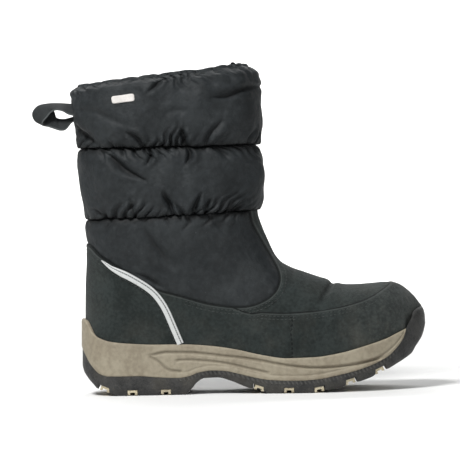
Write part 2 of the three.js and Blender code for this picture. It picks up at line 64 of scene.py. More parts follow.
# Top of the dark rubber round the side: heel wrap, the long line under the foam, toe bumper.
RUBBER_TOP = [(-6, 50), (2, 35.5), (8, 25), (15, 18.2), (22, 16.4), (46, 16.2), (62, 15),
              (78, 14.2), (87, 15.4), (94, 18), (105, 19.6), (116, 19), (128, 16.4), (140, 13.4),
              (154, 11.2), (174, 10.6), (190, 11.4), (202, 13.4), (224, 18.4), (245, 26.6),
              (253.5, 33.5), (260.5, 42.5), (263, 49.3), (267, 56), (273, 62.2), (278, 65),
              (292, 67)]
TOE_SPREAD, HEEL_SPREAD = 75, 36  # lengths over which the outline closes
NOTCHES = np.array([18, 41, 68, 142.5, 167, 191.5, 217, 241])
NOTCH_WIDTH, NOTCH_DEPTH = 8.4, 4.8
GROOVE_DEPTH, GROOVE_HALF = 2.8, 1.6  # lengthwise grooves that part each lug
SIPE_DEPTH, SIPE_HALF, SIPE_PITCH = 0.9, 0.75, 6.4  # fine cuts across each lug
LIP_WIDTH, LIP_DROP = 3.9, 0.4  # the rubber's upper rim, under the foam's edge
STATION_COUNT, WALL_ROWS, TREAD_COLUMNS = 400, 22, 111  # of the meshes


def through(rows):
    """A smooth curve through rows of (place, value) that never swings past them: a cubic between
    neighbours, whose slope at a row is the harmonic mean of the slopes on its two sides."""
    t, v = np.array(rows, float).T
    rise = np.diff(v) / np.diff(t)
    same = rise[:-1] * rise[1:] > 0
    mean = 2 * rise[:-1] * rise[1:] / np.where(same, rise[:-1] + rise[1:], 1)
    slope = np.concatenate([rise[:1], np.where(same, mean, 0), rise[-1:]])

    def curve(at):
        x = np.clip(at, t[0], t[-1])
        i = np.clip(np.searchsorted(t, x, side="right") - 1, 0, len(t) - 2)
        h = t[i + 1] - t[i]
        s = (x - t[i]) / h
        low = (1 + 2 * s) * (1 - s) ** 2 * v[i] + s * (1 - s) ** 2 * h * slope[i]
        return low + s * s * (3 - 2 * s) * v[i + 1] + s * s * (s - 1) * h * slope[i + 1]

    return curve


def mix(a, b, t):
    return a + (b - a) * t


def ease(low, high, v):
    """0 below low, 1 above high, and 3t^2 - 2t^3 between."""
    t = np.clip((v - low) / (high - low), 0, 1)
    return t * t * (3 - 2 * t)


def rounded(depth, power):
    """A quarter of a superellipse: (1 - (1 - depth)^p)^(1/p), 0 at the edge and 1 from depth 1."""
    inside = np.clip(depth, 0, 1)
    return (1 - (1 - inside) ** power) ** (1 / power)


def closer_at_ends(count):
    """Shares from 0 to 1 that lie closer together at both ends, as a cosine's."""
    return 0.5 - 0.5 * np.cos(np.linspace(0, np.pi, count))


half_width, middle_line = through(HALF_WIDTH), through(MIDDLE)
underside, rubber_top = through(UNDERSIDE), through(RUBBER_TOP)


def sole_half(x):
    """Half the sole's width: the footprint closed by a superellipse at the heel and the toe."""
    toe = rounded((SOLE_LENGTH - x) / TOE_SPREAD, 2.35)
    return half_width(x) * toe * rounded(x / HEEL_SPREAD, 2.2)


def sole_point(station, side, inset, z):
    """A point of the sole's side wall drawn in by inset: in the middle the station stays where
    it is, and round the two ends it moves in with the outline. side runs from -1 to 1."""
    near_end = 1 - ease(6, 14, np.minimum(station, SOLE_LENGTH - station))
    x = station + near_end * inset * (1 - 2 * station / SOLE_LENGTH)
    own = np.clip((x - inset) * SOLE_LENGTH / (SOLE_LENGTH - 2 * inset), 0, SOLE_LENGTH)
    y = middle_line(own) + side * sole_half(own) * (1 - inset / 42)
    return np.stack(np.broadcast_arrays(x, y, z), -1)


def wall_inset(rise):
    """How far the side wall is drawn in, by its height over the lugs' underside."""
    return np.interp(rise, [0, 2.2, 6.5, 70], [2.6, 1.0, 0, 1.3])


def past_notch(x):
    """How far a station is from the nearest notch's wall, below 0 in the notch."""
    return np.abs(x[..., None] - NOTCHES).min(-1) - NOTCH_WIDTH / 2


def lug_face(x):
    """Height of the underside: notches, and lugs rounded over towards them."""
    past = past_notch(x)
    round_over = 1.4 * (1 - rounded(past / 4.5, 2)) * (past >= 0)
    return underside(x) + round_over + NOTCH_DEPTH * (past < 0)


def grid_faces(rows, columns, closed=False):
    """Quads of a grid kept row by row. A closed grid joins its last column to its first."""
    r, c = np.meshgrid(np.arange(rows - 1), np.arange(columns - (not closed)), indexing="ij")
    n = (c + 1) % columns
    quads = [r * columns + c, r * columns + n, (r + 1) * columns + n, (r + 1) * columns + c]
    return np.stack(quads, -1).reshape(-1, 4)


def ring_faces(points):
    """Quads of a grid of points whose rows are closed rings."""
    return grid_faces(*points.shape[:2], closed=True)


def weld(mesh):
    """Joins points that lie together, so that seams and poles are closed."""
    work = bmesh.new()
    work.from_mesh(mesh)
    bmesh.ops.remove_doubles(work, verts=work.verts, dist=1e-6)
    bmesh.ops.dissolve_degenerate(work, edges=work.edges, dist=1e-7)
    work.to_mesh(mesh)
    work.free()


def in_scene(name, data):
    """A new object, linked to the scene."""
    made = bpy.data.objects.new(name, data)
    bpy.context.scene.collection.objects.link(made)
    return made


def piece(name, points, faces, finish, values=None, replaces=(), uv=None):
    """A new piece from points in millimetres (x from the sole's back) and quads, with named
    values on its points, smooth faces, its material and its place in the assembly."""
    points = np.asarray(points, float)
    shape, points = points.shape[:-1], points.reshape(-1, 3)
    used, corners = np.unique(faces, return_inverse=True)
    mesh = bpy.data.meshes.new(name)
    placed = points[used] * MM + np.array([sole_box[0].x, 0, 0])
    mesh.from_pydata(placed.tolist(), [], corners.reshape(faces.shape).tolist())
    for key, value in (values or {}).items():
        column = np.broadcast_to(value, shape).reshape(-1)[used].astype("f4")
        mesh.attributes.new(key, "FLOAT", "POINT").data.foreach_set("value", column)
    if uv is not None:
        flat = uv.reshape(-1, 2)[used] * MM
        layer = mesh.uv_layers.new(name="UVMap")
        layer.data.foreach_set("uv", flat[corners.reshape(-1)].reshape(-1))
    weld(mesh)
    mesh.shade_smooth()
    mesh.materials.append(finish)
    made = in_scene(name, mesh)
    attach(made, "root")
    if replaces:
        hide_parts(*replaces)
    return made


class Nodes:
    """Adds nodes to a tree: settings by name, and inputs by name or place, as values or links."""

    def __init__(self, tree):
        self.tree = tree

    def join(self, value, socket):
        if isinstance(value, bpy.types.NodeSocket):
            self.tree.links.new(value, socket)
        else:
            socket.default_value = value

    def add(self, kind, inputs=None, **settings):
        node = self.tree.nodes.new("ShaderNode" + kind)
        for key, value in settings.items():
            setattr(node, key, value)
        for key, value in (inputs or {}).items():
            self.join(value, node.inputs[key])
        return node

    def put(self, tree, inputs):
        """A node group's outputs, from its inputs by name."""
        return self.add("Group", inputs, node_tree=tree).outputs

    def math(self, operation, *values, clamp=False):
        node = self.add("Math", dict(enumerate(values)), operation=operation, use_clamp=clamp)
        return node.outputs[0]

    def times(self, a, b):
        return self.math("MULTIPLY", a, b)

    def wave(self, value, length):
        """A sine of value that comes round once in each length."""
        return self.math("SINE", self.times(value, 2 * np.pi / length))

    def span(self, value, low, high, to_low=0.0, to_high=1.0):
        """value from low..high to to_low..to_high, eased and held at both ends."""
        inputs = {0: value, 1: low, 2: high, 3: to_low, 4: to_high}
        return self.add("MapRange", inputs, interpolation_type="SMOOTHSTEP").outputs[0]

    def blend(self, factor, a, b):
        return self.add("Mix", {0: factor, 6: a, 7: b}, data_type="RGBA").outputs[2]

    def noise(self, place, scale, detail=3.0, rough=0.55):
        inputs = {"Vector": place, "Scale": scale, "Detail": detail, "Roughness": rough}
        return self.add("TexNoise", inputs).outputs[0]

    def read(self, name):
        """A named value of the mesh's points."""
        return self.add("Attribute", attribute_name=name).outputs["Fac"]

    def parts(self, vector):
        """The three numbers of a vector."""
        return self.add("SeparateXYZ", {0: vector}).outputs

    def uv(self):
        """The piece's own place along and across its cloth, in metres."""
        return self.parts(self.add("UVMap", uv_map="UVMap").outputs[0])


def group(name, inputs, outputs, build):
    """A shader node group. Each input's default value gives its kind: a number, a place or a
    colour. Outputs are numbers, apart from Colour."""
    kinds = {1: "NodeSocketFloat", 3: "NodeSocketVector", 4: "NodeSocketColor"}
    tree = bpy.data.node_groups.new(name, "ShaderNodeTree")
    for label, value in inputs.items():
        kind = kinds[np.size(value)]
        tree.interface.new_socket(label, in_out="INPUT", socket_type=kind).default_value = value
    for label in outputs:
        kind = kinds[4 if label == "Colour" else 1]
        tree.interface.new_socket(label, in_out="OUTPUT", socket_type=kind)
    build(Nodes(tree), tree.nodes.new("NodeGroupInput").outputs,
          tree.nodes.new("NodeGroupOutput").inputs)
    return tree


def material(name, build, **constants):
    """A Principled material: constants on the shader's own sockets, and build(nodes, place)
    gives the linked ones as a dict, with Height and Bump (metres) for the Bump node. place is
    the point in the object's own coordinates."""
    made = bpy.data.materials.new(name)
    made.use_nodes = True
    nodes = Nodes(made.node_tree)
    shader = made.node_tree.nodes["Principled BSDF"]
    for key, value in constants.items():
        shader.inputs[key.replace("_", " ")].default_value = value
    linked = build(nodes, nodes.add("TexCoord").outputs["Object"])
    if "Height" in linked:
        inputs = {"Height": linked.pop("Height"), "Distance": linked.pop("Bump"), "Strength": 1.0}
        nodes.join(nodes.add("Bump", inputs).outputs[0], shader.inputs["Normal"])
    for key, value in linked.items():
        nodes.join(value, shader.inputs[key])
    return made


def colour(r, g, b):
    """A screen colour of 0 to 255 as linear light."""
    c = np.array([r, g, b]) / 255
    return (*np.where(c <= 0.04045, c / 12.92, ((c + 0.055) / 1.055) ** 2.4).tolist(), 1.0)


def build_dust(nodes, given, out):
    place = given["Place"]
    low = nodes.span(nodes.parts(place)[2], given["From"], 0.0)
    patch = nodes.span(nodes.noise(place, 38.0, 5.0, 0.6), 0.42, 0.68)
    fleck = nodes.span(nodes.noise(place, 420.0, 2.0), 0.60, 0.72)
    both = nodes.math("ADD", nodes.times(patch, 0.75), nodes.times(fleck, 0.45))
    amount = nodes.times(both, nodes.math("MULTIPLY_ADD", low, 0.8, 0.2))
    amount = nodes.math("MULTIPLY", amount, given["Amount"], clamp=True)
    nodes.join(nodes.blend(amount, given["Colour"], given["Dust"]), out["Colour"])
    nodes.join(amount, out["Mask"])


def build_mottle(nodes, given, out):
    place = given["Place"]
    wide = nodes.noise(place, given["Scale"], 4.0, 0.6)
    fine = nodes.noise(place, nodes.times(given["Scale"], 9.0), 2.0, 0.5)
    both = nodes.math("MULTIPLY_ADD", fine, 0.4, nodes.times(wide, 0.6))
    mask = nodes.span(both, 0.36, 0.64)
    nodes.join(nodes.blend(mask, given["Dark"], given["Light"]), out["Colour"])


BLACK, WHITE, NOWHERE = (0, 0, 0, 1), (1, 1, 1, 1), (0, 0, 0)
# Dust: pale dirt in patches and flecks, more of it near the ground.
dust = group("dust", {"Place": NOWHERE, "Colour": BLACK, "Dust": colour(128, 120, 104),
                      "From": 0.09, "Amount": 0.3}, ["Colour", "Mask"], build_dust)
# Mottle: two colours mixed in soft clouds with finer clouds in them.
mottle = group("mottle", {"Place": NOWHERE, "Scale": 40.0, "Dark": BLACK, "Light": WHITE},
               ["Colour"], build_mottle)


def mottled(nodes, place, scale, dark, light):
    inputs = {"Place": place, "Scale": scale, "Dark": dark, "Light": light}
    return nodes.put(mottle, inputs)["Colour"]


def rubber_look(nodes, place):
    base = mottled(nodes, place, 130.0, colour(26, 27, 27), colour(56, 56, 55))
    dirty = nodes.put(dust, {"Place": place, "Colour": base, "From": 0.05, "Amount": 0.16})
    spot = nodes.parts(place)
    tooth = nodes.wave(nodes.math("MULTIPLY_ADD", spot[2], 0.5, spot[0]), 0.0034)
    in_band = nodes.span(nodes.read("band"), 0.3, 0.7)
    teeth = nodes.times(nodes.span(tooth, -0.3, 0.5), in_band)
    # Painted highlight: the crests of the moulded teeth are painted lighter.
    seen = nodes.blend(nodes.times(teeth, 0.35), dirty["Colour"], colour(96, 95, 92))
    height = nodes.math("MULTIPLY_ADD", teeth, 0.8, nodes.noise(place, 420.0, 4.0, 0.7))
    rough = nodes.span(dirty["Mask"], 0.0, 0.5, 0.62, 0.88)
    return {"Base Color": seen, "Roughness": rough, "Height": height, "Bump": 0.0007}


rubber = material("outsole_rubber", rubber_look, Specular_IOR_Level=0.45)

# Stations closer round both ends, with a pair at each wall of a notch.
walls = (NOTCHES[:, None] + NOTCH_WIDTH / 2 * np.array([-1.02, -0.98, 0.98, 1.02])).ravel()
stations = np.sort(np.concatenate([SOLE_LENGTH * closer_at_ends(STATION_COUNT), walls]))
loop_station = np.concatenate([stations, stations[-2:0:-1]])
loop_side = np.repeat([OUTER, INNER], [len(stations), len(stations) - 2])

# The side wall, all round the outline, ends in a lip under the foam. Its top is drawn in at
# the toe, where it ends on the suede as the bumper's edge.
wall_z = mix(lug_face(loop_station), np.maximum(rubber_top(loop_station), 0),
             closer_at_ends(WALL_ROWS)[:, None])
below_lip = wall_z[-1] - wall_z
drawn_in = 3.2 * (1 - rounded(below_lip / 9, 2)) * ease(260, 272, loop_station)
inset = wall_inset(wall_z - underside(loop_station)) + drawn_in
wall = sole_point(loop_station, loop_side, inset, wall_z)
lip_inset = wall_inset(wall_z[-1] - underside(loop_station)) + LIP_WIDTH
lip = sole_point(loop_station, loop_side, lip_inset, wall_z[-1] - LIP_DROP)
wall = np.concatenate([wall, lip[None]])
# A band of moulded teeth runs under the lip from the arch to the bumper.
band = ease(0.2, 0.9, below_lip) * ease(4.2, 3.0, below_lip)
band *= ease(70, 84, loop_station) * ease(258, 250, loop_station)

# The tread: each lug is parted by grooves that shift from lug to lug, and has wavy sipes.
station = stations[:, None]
across = np.linspace(-1, 1, TREAD_COLUMNS)
face_inset = wall_inset(lug_face(station) - underside(station))
tread = sole_point(station, across, face_inset, lug_face(station))
shifted = np.searchsorted(NOTCHES, station) % 2
per_width = 1.5 + 0.1 * shifted
to_groove = np.abs((across * per_width + 0.5 * shifted) % 1 - 0.5) / per_width * half_width(station)
to_sipe = np.abs((station + 1.5 * np.sin(across * 22)) % SIPE_PITCH - SIPE_PITCH / 2)
past = past_notch(station)
cuts = np.maximum(GROOVE_DEPTH * np.exp(-(to_groove / GROOVE_HALF) ** 4),
                  SIPE_DEPTH * np.exp(-(to_sipe / SIPE_HALF) ** 2) * ease(1.5, 3, past))
# The arch, both ends and the rims are left whole.
whole = ease(82, 90, station) * ease(140, 132, station)
whole += ease(12, 4, station) + ease(256, 268, station)
tread[..., 2] += cuts * ease(0.93, 0.88, np.abs(across)) * (past > 0) * (1 - whole)

outsole_points = np.concatenate([wall.reshape(-1, 3), tread.reshape(-1, 3)])
outsole_faces = np.concatenate([ring_faces(wall), grid_faces(*tread.shape[:2]) + wall[..., 0].size])
outsole_band = np.zeros(len(outsole_points))
outsole_band[:band.size] = band.ravel()
piece("outsole_rubber", outsole_points, outsole_faces, rubber,
      {"band": outsole_band}, replaces=["outsole"])

# ---- tread inserts ----
# Eight cream channels line the notches between the lugs. They are moulded rubber, cemented in.


def insert_look(nodes, place):
    base = mottled(nodes, place, 90.0, colour(178, 166, 136), colour(222, 212, 186))
    dirty = nodes.put(dust, {"Place": place, "Colour": base, "Dust": colour(92, 84, 72),
                             "From": 0.02, "Amount": 0.8})
    return {"Base Color": dirty["Colour"], "Height": nodes.noise(place, 700.0), "Bump": 0.0001}


def dress(node, finish):
    """Gives a node of the CAD its material."""
    node.data.materials.clear()
    node.data.materials.append(finish)


cream = material("insert_cream", insert_look, Roughness=0.7)
for node_name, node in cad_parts.items():
    if "_insert_" in node_name:
        dress(node, cream)

# ---- midsole ----
# The midsole is one block of beige foam between the rubber and the upper. Its side is moulded
# with long channels, and it wraps up behind the heel.

MIDSOLE_TOP = [(-6, 63), (2.3, 61), (8.5, 52), (15.5, 46.8), (24, 44), (38, 42.3), (60, 41),
               (82, 40.8), (102, 39.4), (124, 36.2), (145, 31.4), (166, 28.4), (188, 28.9),
               (210, 32), (231, 37.4), (246, 42), (256, 46.4), (263, 49.3)]
FOAM_TIP = 262.6
# Channels: runs of (station, height), then depth and half width.
CHANNELS = [
    ([(50, 30.6), (54.2, 31.9), (66.8, 34.4), (74.8, 34.4), (91.8, 33.7), (113.7, 30.9),
      (135.7, 28.2), (167.6, 22.3), (190.5, 20.3), (213.6, 21.6), (236.7, 25.7), (247, 30)],
     1.5, 1.3),
    ([(54.2, 31.9), (61.2, 28.3), (68.9, 21.3), (74.5, 19.6), (82, 19)], 1.3, 1.2),
    ([(73.6, 26.8), (80.3, 28.1), (91.3, 27.8), (113.6, 25.4), (135.5, 20.4), (153.4, 16.2)],
     1.3, 1.2),
]
FOAM_ROWS, FOAM_LEDGE_ROWS = 56, 4


def spline(rows, steps=60):
    """A smooth run of points through rows of (x, z): a uniform Catmull-Rom curve."""
    p = np.array(rows, float)
    t = np.linspace(0, len(p) - 1, steps + 1)
    i = np.minimum(t.astype(int), len(p) - 2)
    s = (t - i)[:, None]
    a, b, c, d = p[np.maximum(i - 1, 0)], p[i], p[i + 1], p[np.minimum(i + 2, len(p) - 1)]
    bend = (2 * a - 5 * b + 4 * c - d) * s**2 + (3 * b - a - 3 * c + d) * s**3
    return b + 0.5 * ((c - a) * s + bend)


def beside(line, x, z):
    """How far points lie to the left of a run of points (to the right is negative), and how
    far along it their nearest place is, from 0 to 1."""
    x, z = np.broadcast_arrays(np.asarray(x, float), np.asarray(z, float))
    best = np.full(x.shape, np.inf)
    side, along = np.zeros(x.shape), np.zeros(x.shape)
    steps = np.diff(line, axis=0)
    lengths = np.hypot(*steps.T)
    before = np.cumsum(lengths) - lengths
    for (ax, az), (dx, dz), length, start in zip(line, steps, lengths, before):
        t = np.clip(((x - ax) * dx + (z - az) * dz) / length**2, 0, 1)
        far = np.hypot(x - ax - t * dx, z - az - t * dz)
        nearer = far < best
        best = np.where(nearer, far, best)
        side = np.where(nearer, dx * (z - az) - dz * (x - ax), side)
        along = np.where(nearer, start + t * length, along)
    return np.where(side < 0, -best, best), along / lengths.sum()


def bell(off, half, power=2):
    """1 in the middle and fading to both sides: exp(-(off / half)^power)."""
    return np.exp(-(off / half) ** power)


def foam_look(nodes, place):
    base = mottled(nodes, place, 30.0, colour(130, 121, 104), colour(151, 143, 125))
    # Painted shade: the foam is painted darker, unevenly, in its channels and on its top ledge under
    # the upper.
    channel_shade = nodes.math("MULTIPLY_ADD", nodes.noise(place, 60.0), 0.5, nodes.read("deep"))
    channel_shade = nodes.span(channel_shade, 0.5, 1.5, 0.0, 0.5)
    base = nodes.blend(channel_shade, base, colour(96, 88, 74))
    fleck = nodes.span(nodes.noise(place, 300.0, 2.0), 0.62, 0.78, 0.0, 0.3)
    base = nodes.blend(fleck, base, colour(104, 97, 84))
    height = nodes.noise(place, 800.0, 3.0, 0.7)
    return {"Base Color": base, "Roughness": nodes.span(channel_shade, 0.0, 0.5, 0.66, 0.85),
            "Height": height, "Bump": 0.00012}


foam = material("midsole_foam", foam_look, Specular_IOR_Level=0.35)
one_side = np.append(stations[stations < FOAM_TIP], FOAM_TIP)
foam_station = np.concatenate([one_side[::-1], one_side[1:]])
foam_side = np.repeat([INNER, OUTER], [len(one_side), len(one_side) - 1])
midsole_top = through(MIDSOLE_TOP)
foam_low, foam_high = rubber_top(foam_station) - 0.4, midsole_top(foam_station)
foam_z = mix(foam_low, foam_high, closer_at_ends(FOAM_ROWS)[:, None])
from_low, from_high = foam_z - foam_low, foam_high - foam_z
# The wall bulges over the rubber and is rounded in at its top.
foam_inset = wall_inset(foam_z - underside(foam_station))
foam_inset -= 0.7 * rounded(from_low / 1.6, 2) - 1.2 * (1 - rounded(from_high / 2.4, 2))
deep, cut_in = np.zeros(foam_z.shape), np.zeros(foam_z.shape)
for run, depth, half in CHANNELS:
    off, along = beside(spline(run), foam_station, foam_z)
    trough = bell(off, half, 4) * ease(0, 0.06, along) * ease(1, 0.94, along)
    deep, cut_in = np.maximum(deep, trough), np.maximum(cut_in, depth * trough)
foam_inset += cut_in + 0.5 * bell(from_low - 4.0, 0.9) * ease(60, 90, foam_station)
foam_wall = sole_point(foam_station, foam_side, foam_inset, foam_z)
ledge = np.linspace(0.5, 4.6, FOAM_LEDGE_ROWS)[:, None]
foam_ledge = sole_point(foam_station, foam_side, foam_inset[-1] + ledge, foam_high - 0.12 * ledge)
foam_points = np.concatenate([foam_wall, foam_ledge])
ledge_deep = np.linspace(0.3, 1.1, FOAM_LEDGE_ROWS)[:, None]
foam_deep = np.concatenate([deep, np.broadcast_to(ledge_deep, foam_ledge.shape[:2])])
piece("midsole_foam", foam_points, grid_faces(*foam_points.shape[:2]), foam,
      {"deep": foam_deep}, replaces=["midsole"])

# ---- insole ----
# A flat felt insole lies loose on the midsole inside the lining.


def felt_look(nodes, place):
    base = mottled(nodes, place, 260.0, colour(66, 68, 68), colour(94, 96, 95))
    return {"Base Color": base, "Height": nodes.noise(place, 1300.0, 4.0, 0.8), "Bump": 0.0005}


felt = material("insole_felt", felt_look, Roughness=0.97, Sheen_Weight=0.3)
dress(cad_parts["insole"], felt)

# ---- lining ----
# A fleece sock lines the boot from the footbed to the collar, and is sewn to the nylon there.

ANKLE_X, PIVOT_Z = 75, 30
LEDGE = 3.6  # how far the sole stands out past the upper
SHAFT_BACK = [(20, 5), (60, 5.2), (88, 5.9), (112, 7.2), (143, 6.6), (172, 4), (200, 1), (232, -2),
              (275, -3)]
SHAFT_HALF = [(20, 32.6), (60, 33), (88, 35.8), (112, 39), (143, 42), (172, 44), (200, 46),
              (232, 48), (275, 48)]
FOOTBED = [(0, 31), (45, 30), (90, 28), (130, 22), (165, 18.5), (190, 19), (215, 22.5), (240, 28.5),
           (262, 35.5), (280, 42.5)]
# Front outline from beyond the toe, over the vamp, up the front of the shaft.
CREST = [(312, 26), (294, 46), (281, 60), (275, 66.6), (269.6, 73.8), (260, 82.2), (250, 85.2),
         (230, 83.9), (214, 84), (206, 85.6), (199, 88.8), (184, 94.2), (169, 100), (160.2, 106.8),
         (155, 116), (151, 126), (147, 136), (144.5, 146), (144.5, 170), (146, 200),
         (147.5, 232), (147.5, 290)]
crest = spline(CREST, 66)
shaft_back, shaft_half, footbed = through(SHAFT_BACK), through(SHAFT_HALF), through(FOOTBED)
FOOT_COLUMNS, SHAFT_COLUMNS = 600, 480
FOOT_WALL, SHAFT_WALL = 4.8, 4.2  # from the outer face to the lining's


def boot_half(x, z):
    """Half the boot's width at a point of its side view: the foot's width low down, the
    shaft's high up, closed by a round toe, a round back and a round crest."""
    high = ease(55, 143, z)
    low = half_width(x) * (1 - LEDGE / 49)
    toe = rounded((SOLE_LENGTH - LEDGE - x) / (TOE_SPREAD - LEDGE), 2.35)
    heel = rounded((x - shaft_back(z)) / mix(HEEL_SPREAD - 2, 66, high), 2.2)
    top = rounded(beside(crest, x, z)[0] / mix(60, 32, ease(160, 240, x)), 2.4)
    return mix(low, shaft_half(z), high) * toe * heel * top


def boot_middle(x, z):
    return middle_line(x) * (1 - ease(60, 125, z))


def meridians(azimuth):
    """Points of the boot's surface where rays from the ankle's pivot leave it, swept from
    34 degrees below level to 83 above. Each ray's length is found by halving 24 times."""
    tilt, azimuth = np.meshgrid(np.radians(np.linspace(-34, 83, 150)), azimuth, indexing="ij")
    level = np.cos(tilt)
    ray = np.stack([level * np.cos(azimuth), level * np.sin(azimuth), np.sin(tilt)], -1)
    pivot = np.array([ANKLE_X, 0, PIVOT_Z])
    near, far = np.zeros(level.shape), np.full(level.shape, 340.0)
    for _ in range(24):
        r = (near + far) / 2
        x, y, z = np.moveaxis(pivot + r[..., None] * ray, -1, 0)
        inside = np.abs(y - boot_middle(x, z)) < boot_half(x, z)
        near, far = np.where(inside, r, near), np.where(inside, far, r)
    return pivot + near[..., None] * ray


def length(vectors):
    return np.linalg.norm(vectors, axis=-1)


def unit(vectors):
    return vectors / length(vectors)[..., None]


def between(lines, low, high, shares):
    """Rows of surface points shared out by length along each meridian between two levels, each
    a function of x that gives z, and the surface's outward normals there."""
    along = np.cumsum(length(np.diff(lines, axis=0, prepend=lines[:1])), 0)
    rows = np.empty((len(shares), lines.shape[1], 3))
    for c in range(lines.shape[1]):
        marks = []
        for level in (low, high):
            over = lines[:, c, 2] - level(lines[:, c, 0])
            i = np.nonzero((over[:-1] <= 0) & (over[1:] > 0))[0][-1]
            marks.append(mix(along[i, c], along[i + 1, c], over[i] / (over[i] - over[i + 1])))
        at = mix(marks[0], marks[1], shares)
        for k in range(3):
            rows[:, c, k] = np.interp(at, along[:, c], lines[:, c, k])
    across = np.roll(rows, -1, 1) - np.roll(rows, 1, 1)
    return rows, unit(np.cross(across, np.gradient(rows, axis=0)))


def around_foot():
    """Azimuths that share out the sole's outline by its length and its turning."""
    a = np.linspace(0, 2 * np.pi, 2881)
    x = SOLE_LENGTH / 2 * (1 + np.cos(a))
    y = middle_line(x) + np.where(np.sin(a) < 0, -1, 1) * sole_half(np.clip(x, 0, SOLE_LENGTH))
    angle = np.unwrap(np.arctan2(y, x - ANKLE_X))
    step = length(np.diff([x, y]).T) + 60 * np.maximum(np.diff(angle), 0)
    total = np.concatenate([[0], np.cumsum(step)])
    return np.interp(np.arange(FOOT_COLUMNS) / FOOT_COLUMNS * total[-1], total, angle)


# Heights of the lower and the upper quilting seam and of the collar, by station.
def seam_low(x):
    return mix(142, 147, np.clip((x - 9) / 135, 0, 1))


def seam_top(x):
    return np.full(np.shape(x), 200.0)


def collar(x):
    return mix(252, 266, np.clip(x / 140, 0, 1))


def fleece_look(nodes, place):
    base = mottled(nodes, place, 170.0, colour(40, 42, 43), colour(66, 68, 68))
    return {"Base Color": base, "Height": nodes.noise(place, 520.0, 4.0, 0.75), "Bump": 0.0012}


fleece = material("lining_fleece", fleece_look, Roughness=0.98, Sheen_Weight=0.4)
foot_lines = meridians(around_foot())
shaft_lines = meridians(np.linspace(0, 2 * np.pi, SHAFT_COLUMNS, endpoint=False))


def lining(name, lines, low, high, shares, thick):
    """Fleece that lies thick inside the boot's surface between two levels, facing inwards."""
    outer, outward = between(lines, low, high, shares)
    piece(name, outer - thick * outward, ring_faces(outer)[:, ::-1], fleece,
          replaces=["upper"])


lining("lining_foot", foot_lines[:, ::4], lambda x: footbed(x) + 5, seam_low,
       np.linspace(0, 1, 30), FOOT_WALL)
lining("lining_shaft", shaft_lines[:, ::3], lambda x: seam_low(x) - 5, collar,
       np.linspace(0, 0.97, 40), SHAFT_WALL)

# ---- quilted nylon ----
# Nylon over foam makes the collar tier, the middle tier and the ankle quarter. Two quilting
# seams draw it in between them, and an elastic gathers it at the collar.

PUFF, QUARTER_PUFF, COLLAR_DRAW = 6.4, 3.3, 3.2
TIER_HEIGHT = 58  # of a tier, along the cloth
AROUND_SHAFT = 372
FOOT_ROWS, TIER_ROWS, ROLL_ROWS = 150, 84, 13
QUARTER_EDGE = [(-6, 124), (9, 121), (19, 111.6), (38, 99.4), (58, 86.6), (82, 79), (104, 72.4),
                (126, 69.4), (139, 70.4), (150.5, 74.8), (158.4, 81.4), (161.8, 89.4), (160.8, 97.4),
                (156.6, 106), (151.4, 115.5), (145.6, 126), (140, 137.5), (138.5, 147)]
# Creases of each side: run of (station, height), depth and half width.
COLLAR_CREASES = {OUTER: [
    ([(60, 244.5), (68, 250), (76, 255)], 1.8, 2.2),
    ([(112, 238.5), (131, 243.5), (147, 247)], 2.0, 2.8),
    ([(73, 225), (82, 227.5), (91, 229.5)], 0.8, 2.8),
    ([(44, 213), (52, 206.5), (56, 199.5)], 2.3, 2.1),
    ([(85, 215), (87.6, 208), (88.6, 199.5)], 2.8, 2.2),
    ([(68, 206), (71, 199.5)], 1.6, 1.7),
    ([(122, 210), (110, 200)], 1.5, 2.2),
    ([(116.5, 221), (110, 211), (103.4, 200)], 1.8, 2.4),
    ([(-4, 223), (6, 214), (19, 203)], 2.2, 2.8),
    ([(6, 232), (24, 227), (42, 220)], 1.1, 3.6),
    ([(28, 207), (33, 200)], 1.4, 2.0),
], INNER: [
    ([(40, 243), (52, 250)], 1.6, 2.4),
    ([(104, 236), (124, 242), (146, 244)], 2.0, 2.8),
    ([(2, 224), (12, 213), (24, 202)], 2.0, 2.8),
    ([(62, 212), (70, 200)], 1.7, 2.3),
    ([(98, 216), (92, 200)], 1.7, 2.3),
    ([(60, 232), (84, 226)], 1.0, 3.4),
]}
MIDDLE_CREASES = {OUTER: [
    ([(22, 197), (39.5, 184.8), (55, 173.5)], 2.8, 2.8),
    ([(18, 198), (21.5, 193.5), (24, 188.5)], 1.3, 1.8),
    ([(88.8, 200.5), (90.4, 194), (88.6, 187)], 2.6, 2.1),
    ([(58, 200.5), (59.6, 194), (57, 187)], 2.0, 1.9),
    ([(45.4, 160), (46.6, 143)], 1.7, 2.2),
    ([(70, 164), (76, 154), (78, 144)], 2.9, 2.3),
    ([(81, 154), (86, 143)], 2.0, 1.8),
    ([(99, 163), (95, 153), (90, 144)], 2.6, 2.2),
    ([(108, 157), (101, 145)], 1.8, 1.9),
    ([(134, 153), (122, 149), (110, 144)], 1.8, 2.4),
    ([(16, 151), (26, 140)], 1.5, 2.0),
    ([(112, 200), (120, 190)], 1.4, 2.4),
], INNER: [
    ([(30, 197), (46, 186), (66, 180)], 2.4, 2.8),
    ([(92, 199), (86, 186)], 1.8, 2.4),
    ([(58, 160), (54, 143)], 1.7, 2.2),
    ([(100, 158), (92, 144)], 1.7, 2.4),
    ([(132, 158), (120, 145)], 1.7, 2.4),
]}
QUARTER_CREASES = {OUTER: [
    ([(50, 139), (60, 124), (69, 112), (79, 102)], 1.5, 4.0),
    ([(47, 97.5), (58, 92), (69, 86)], 1.5, 2.6),
    ([(8, 118.5), (16.5, 111)], 1.2, 2.0),
    ([(26, 141), (22, 128)], 1.1, 2.6),
    ([(108, 142), (118, 130)], 1.2, 3.0),
], INNER: [
    ([(46, 138), (58, 122), (74, 108)], 2.0, 3.8),
    ([(96, 140), (112, 126), (128, 118)], 1.6, 3.4),
    ([(60, 96), (84, 88)], 1.4, 2.8),
]}


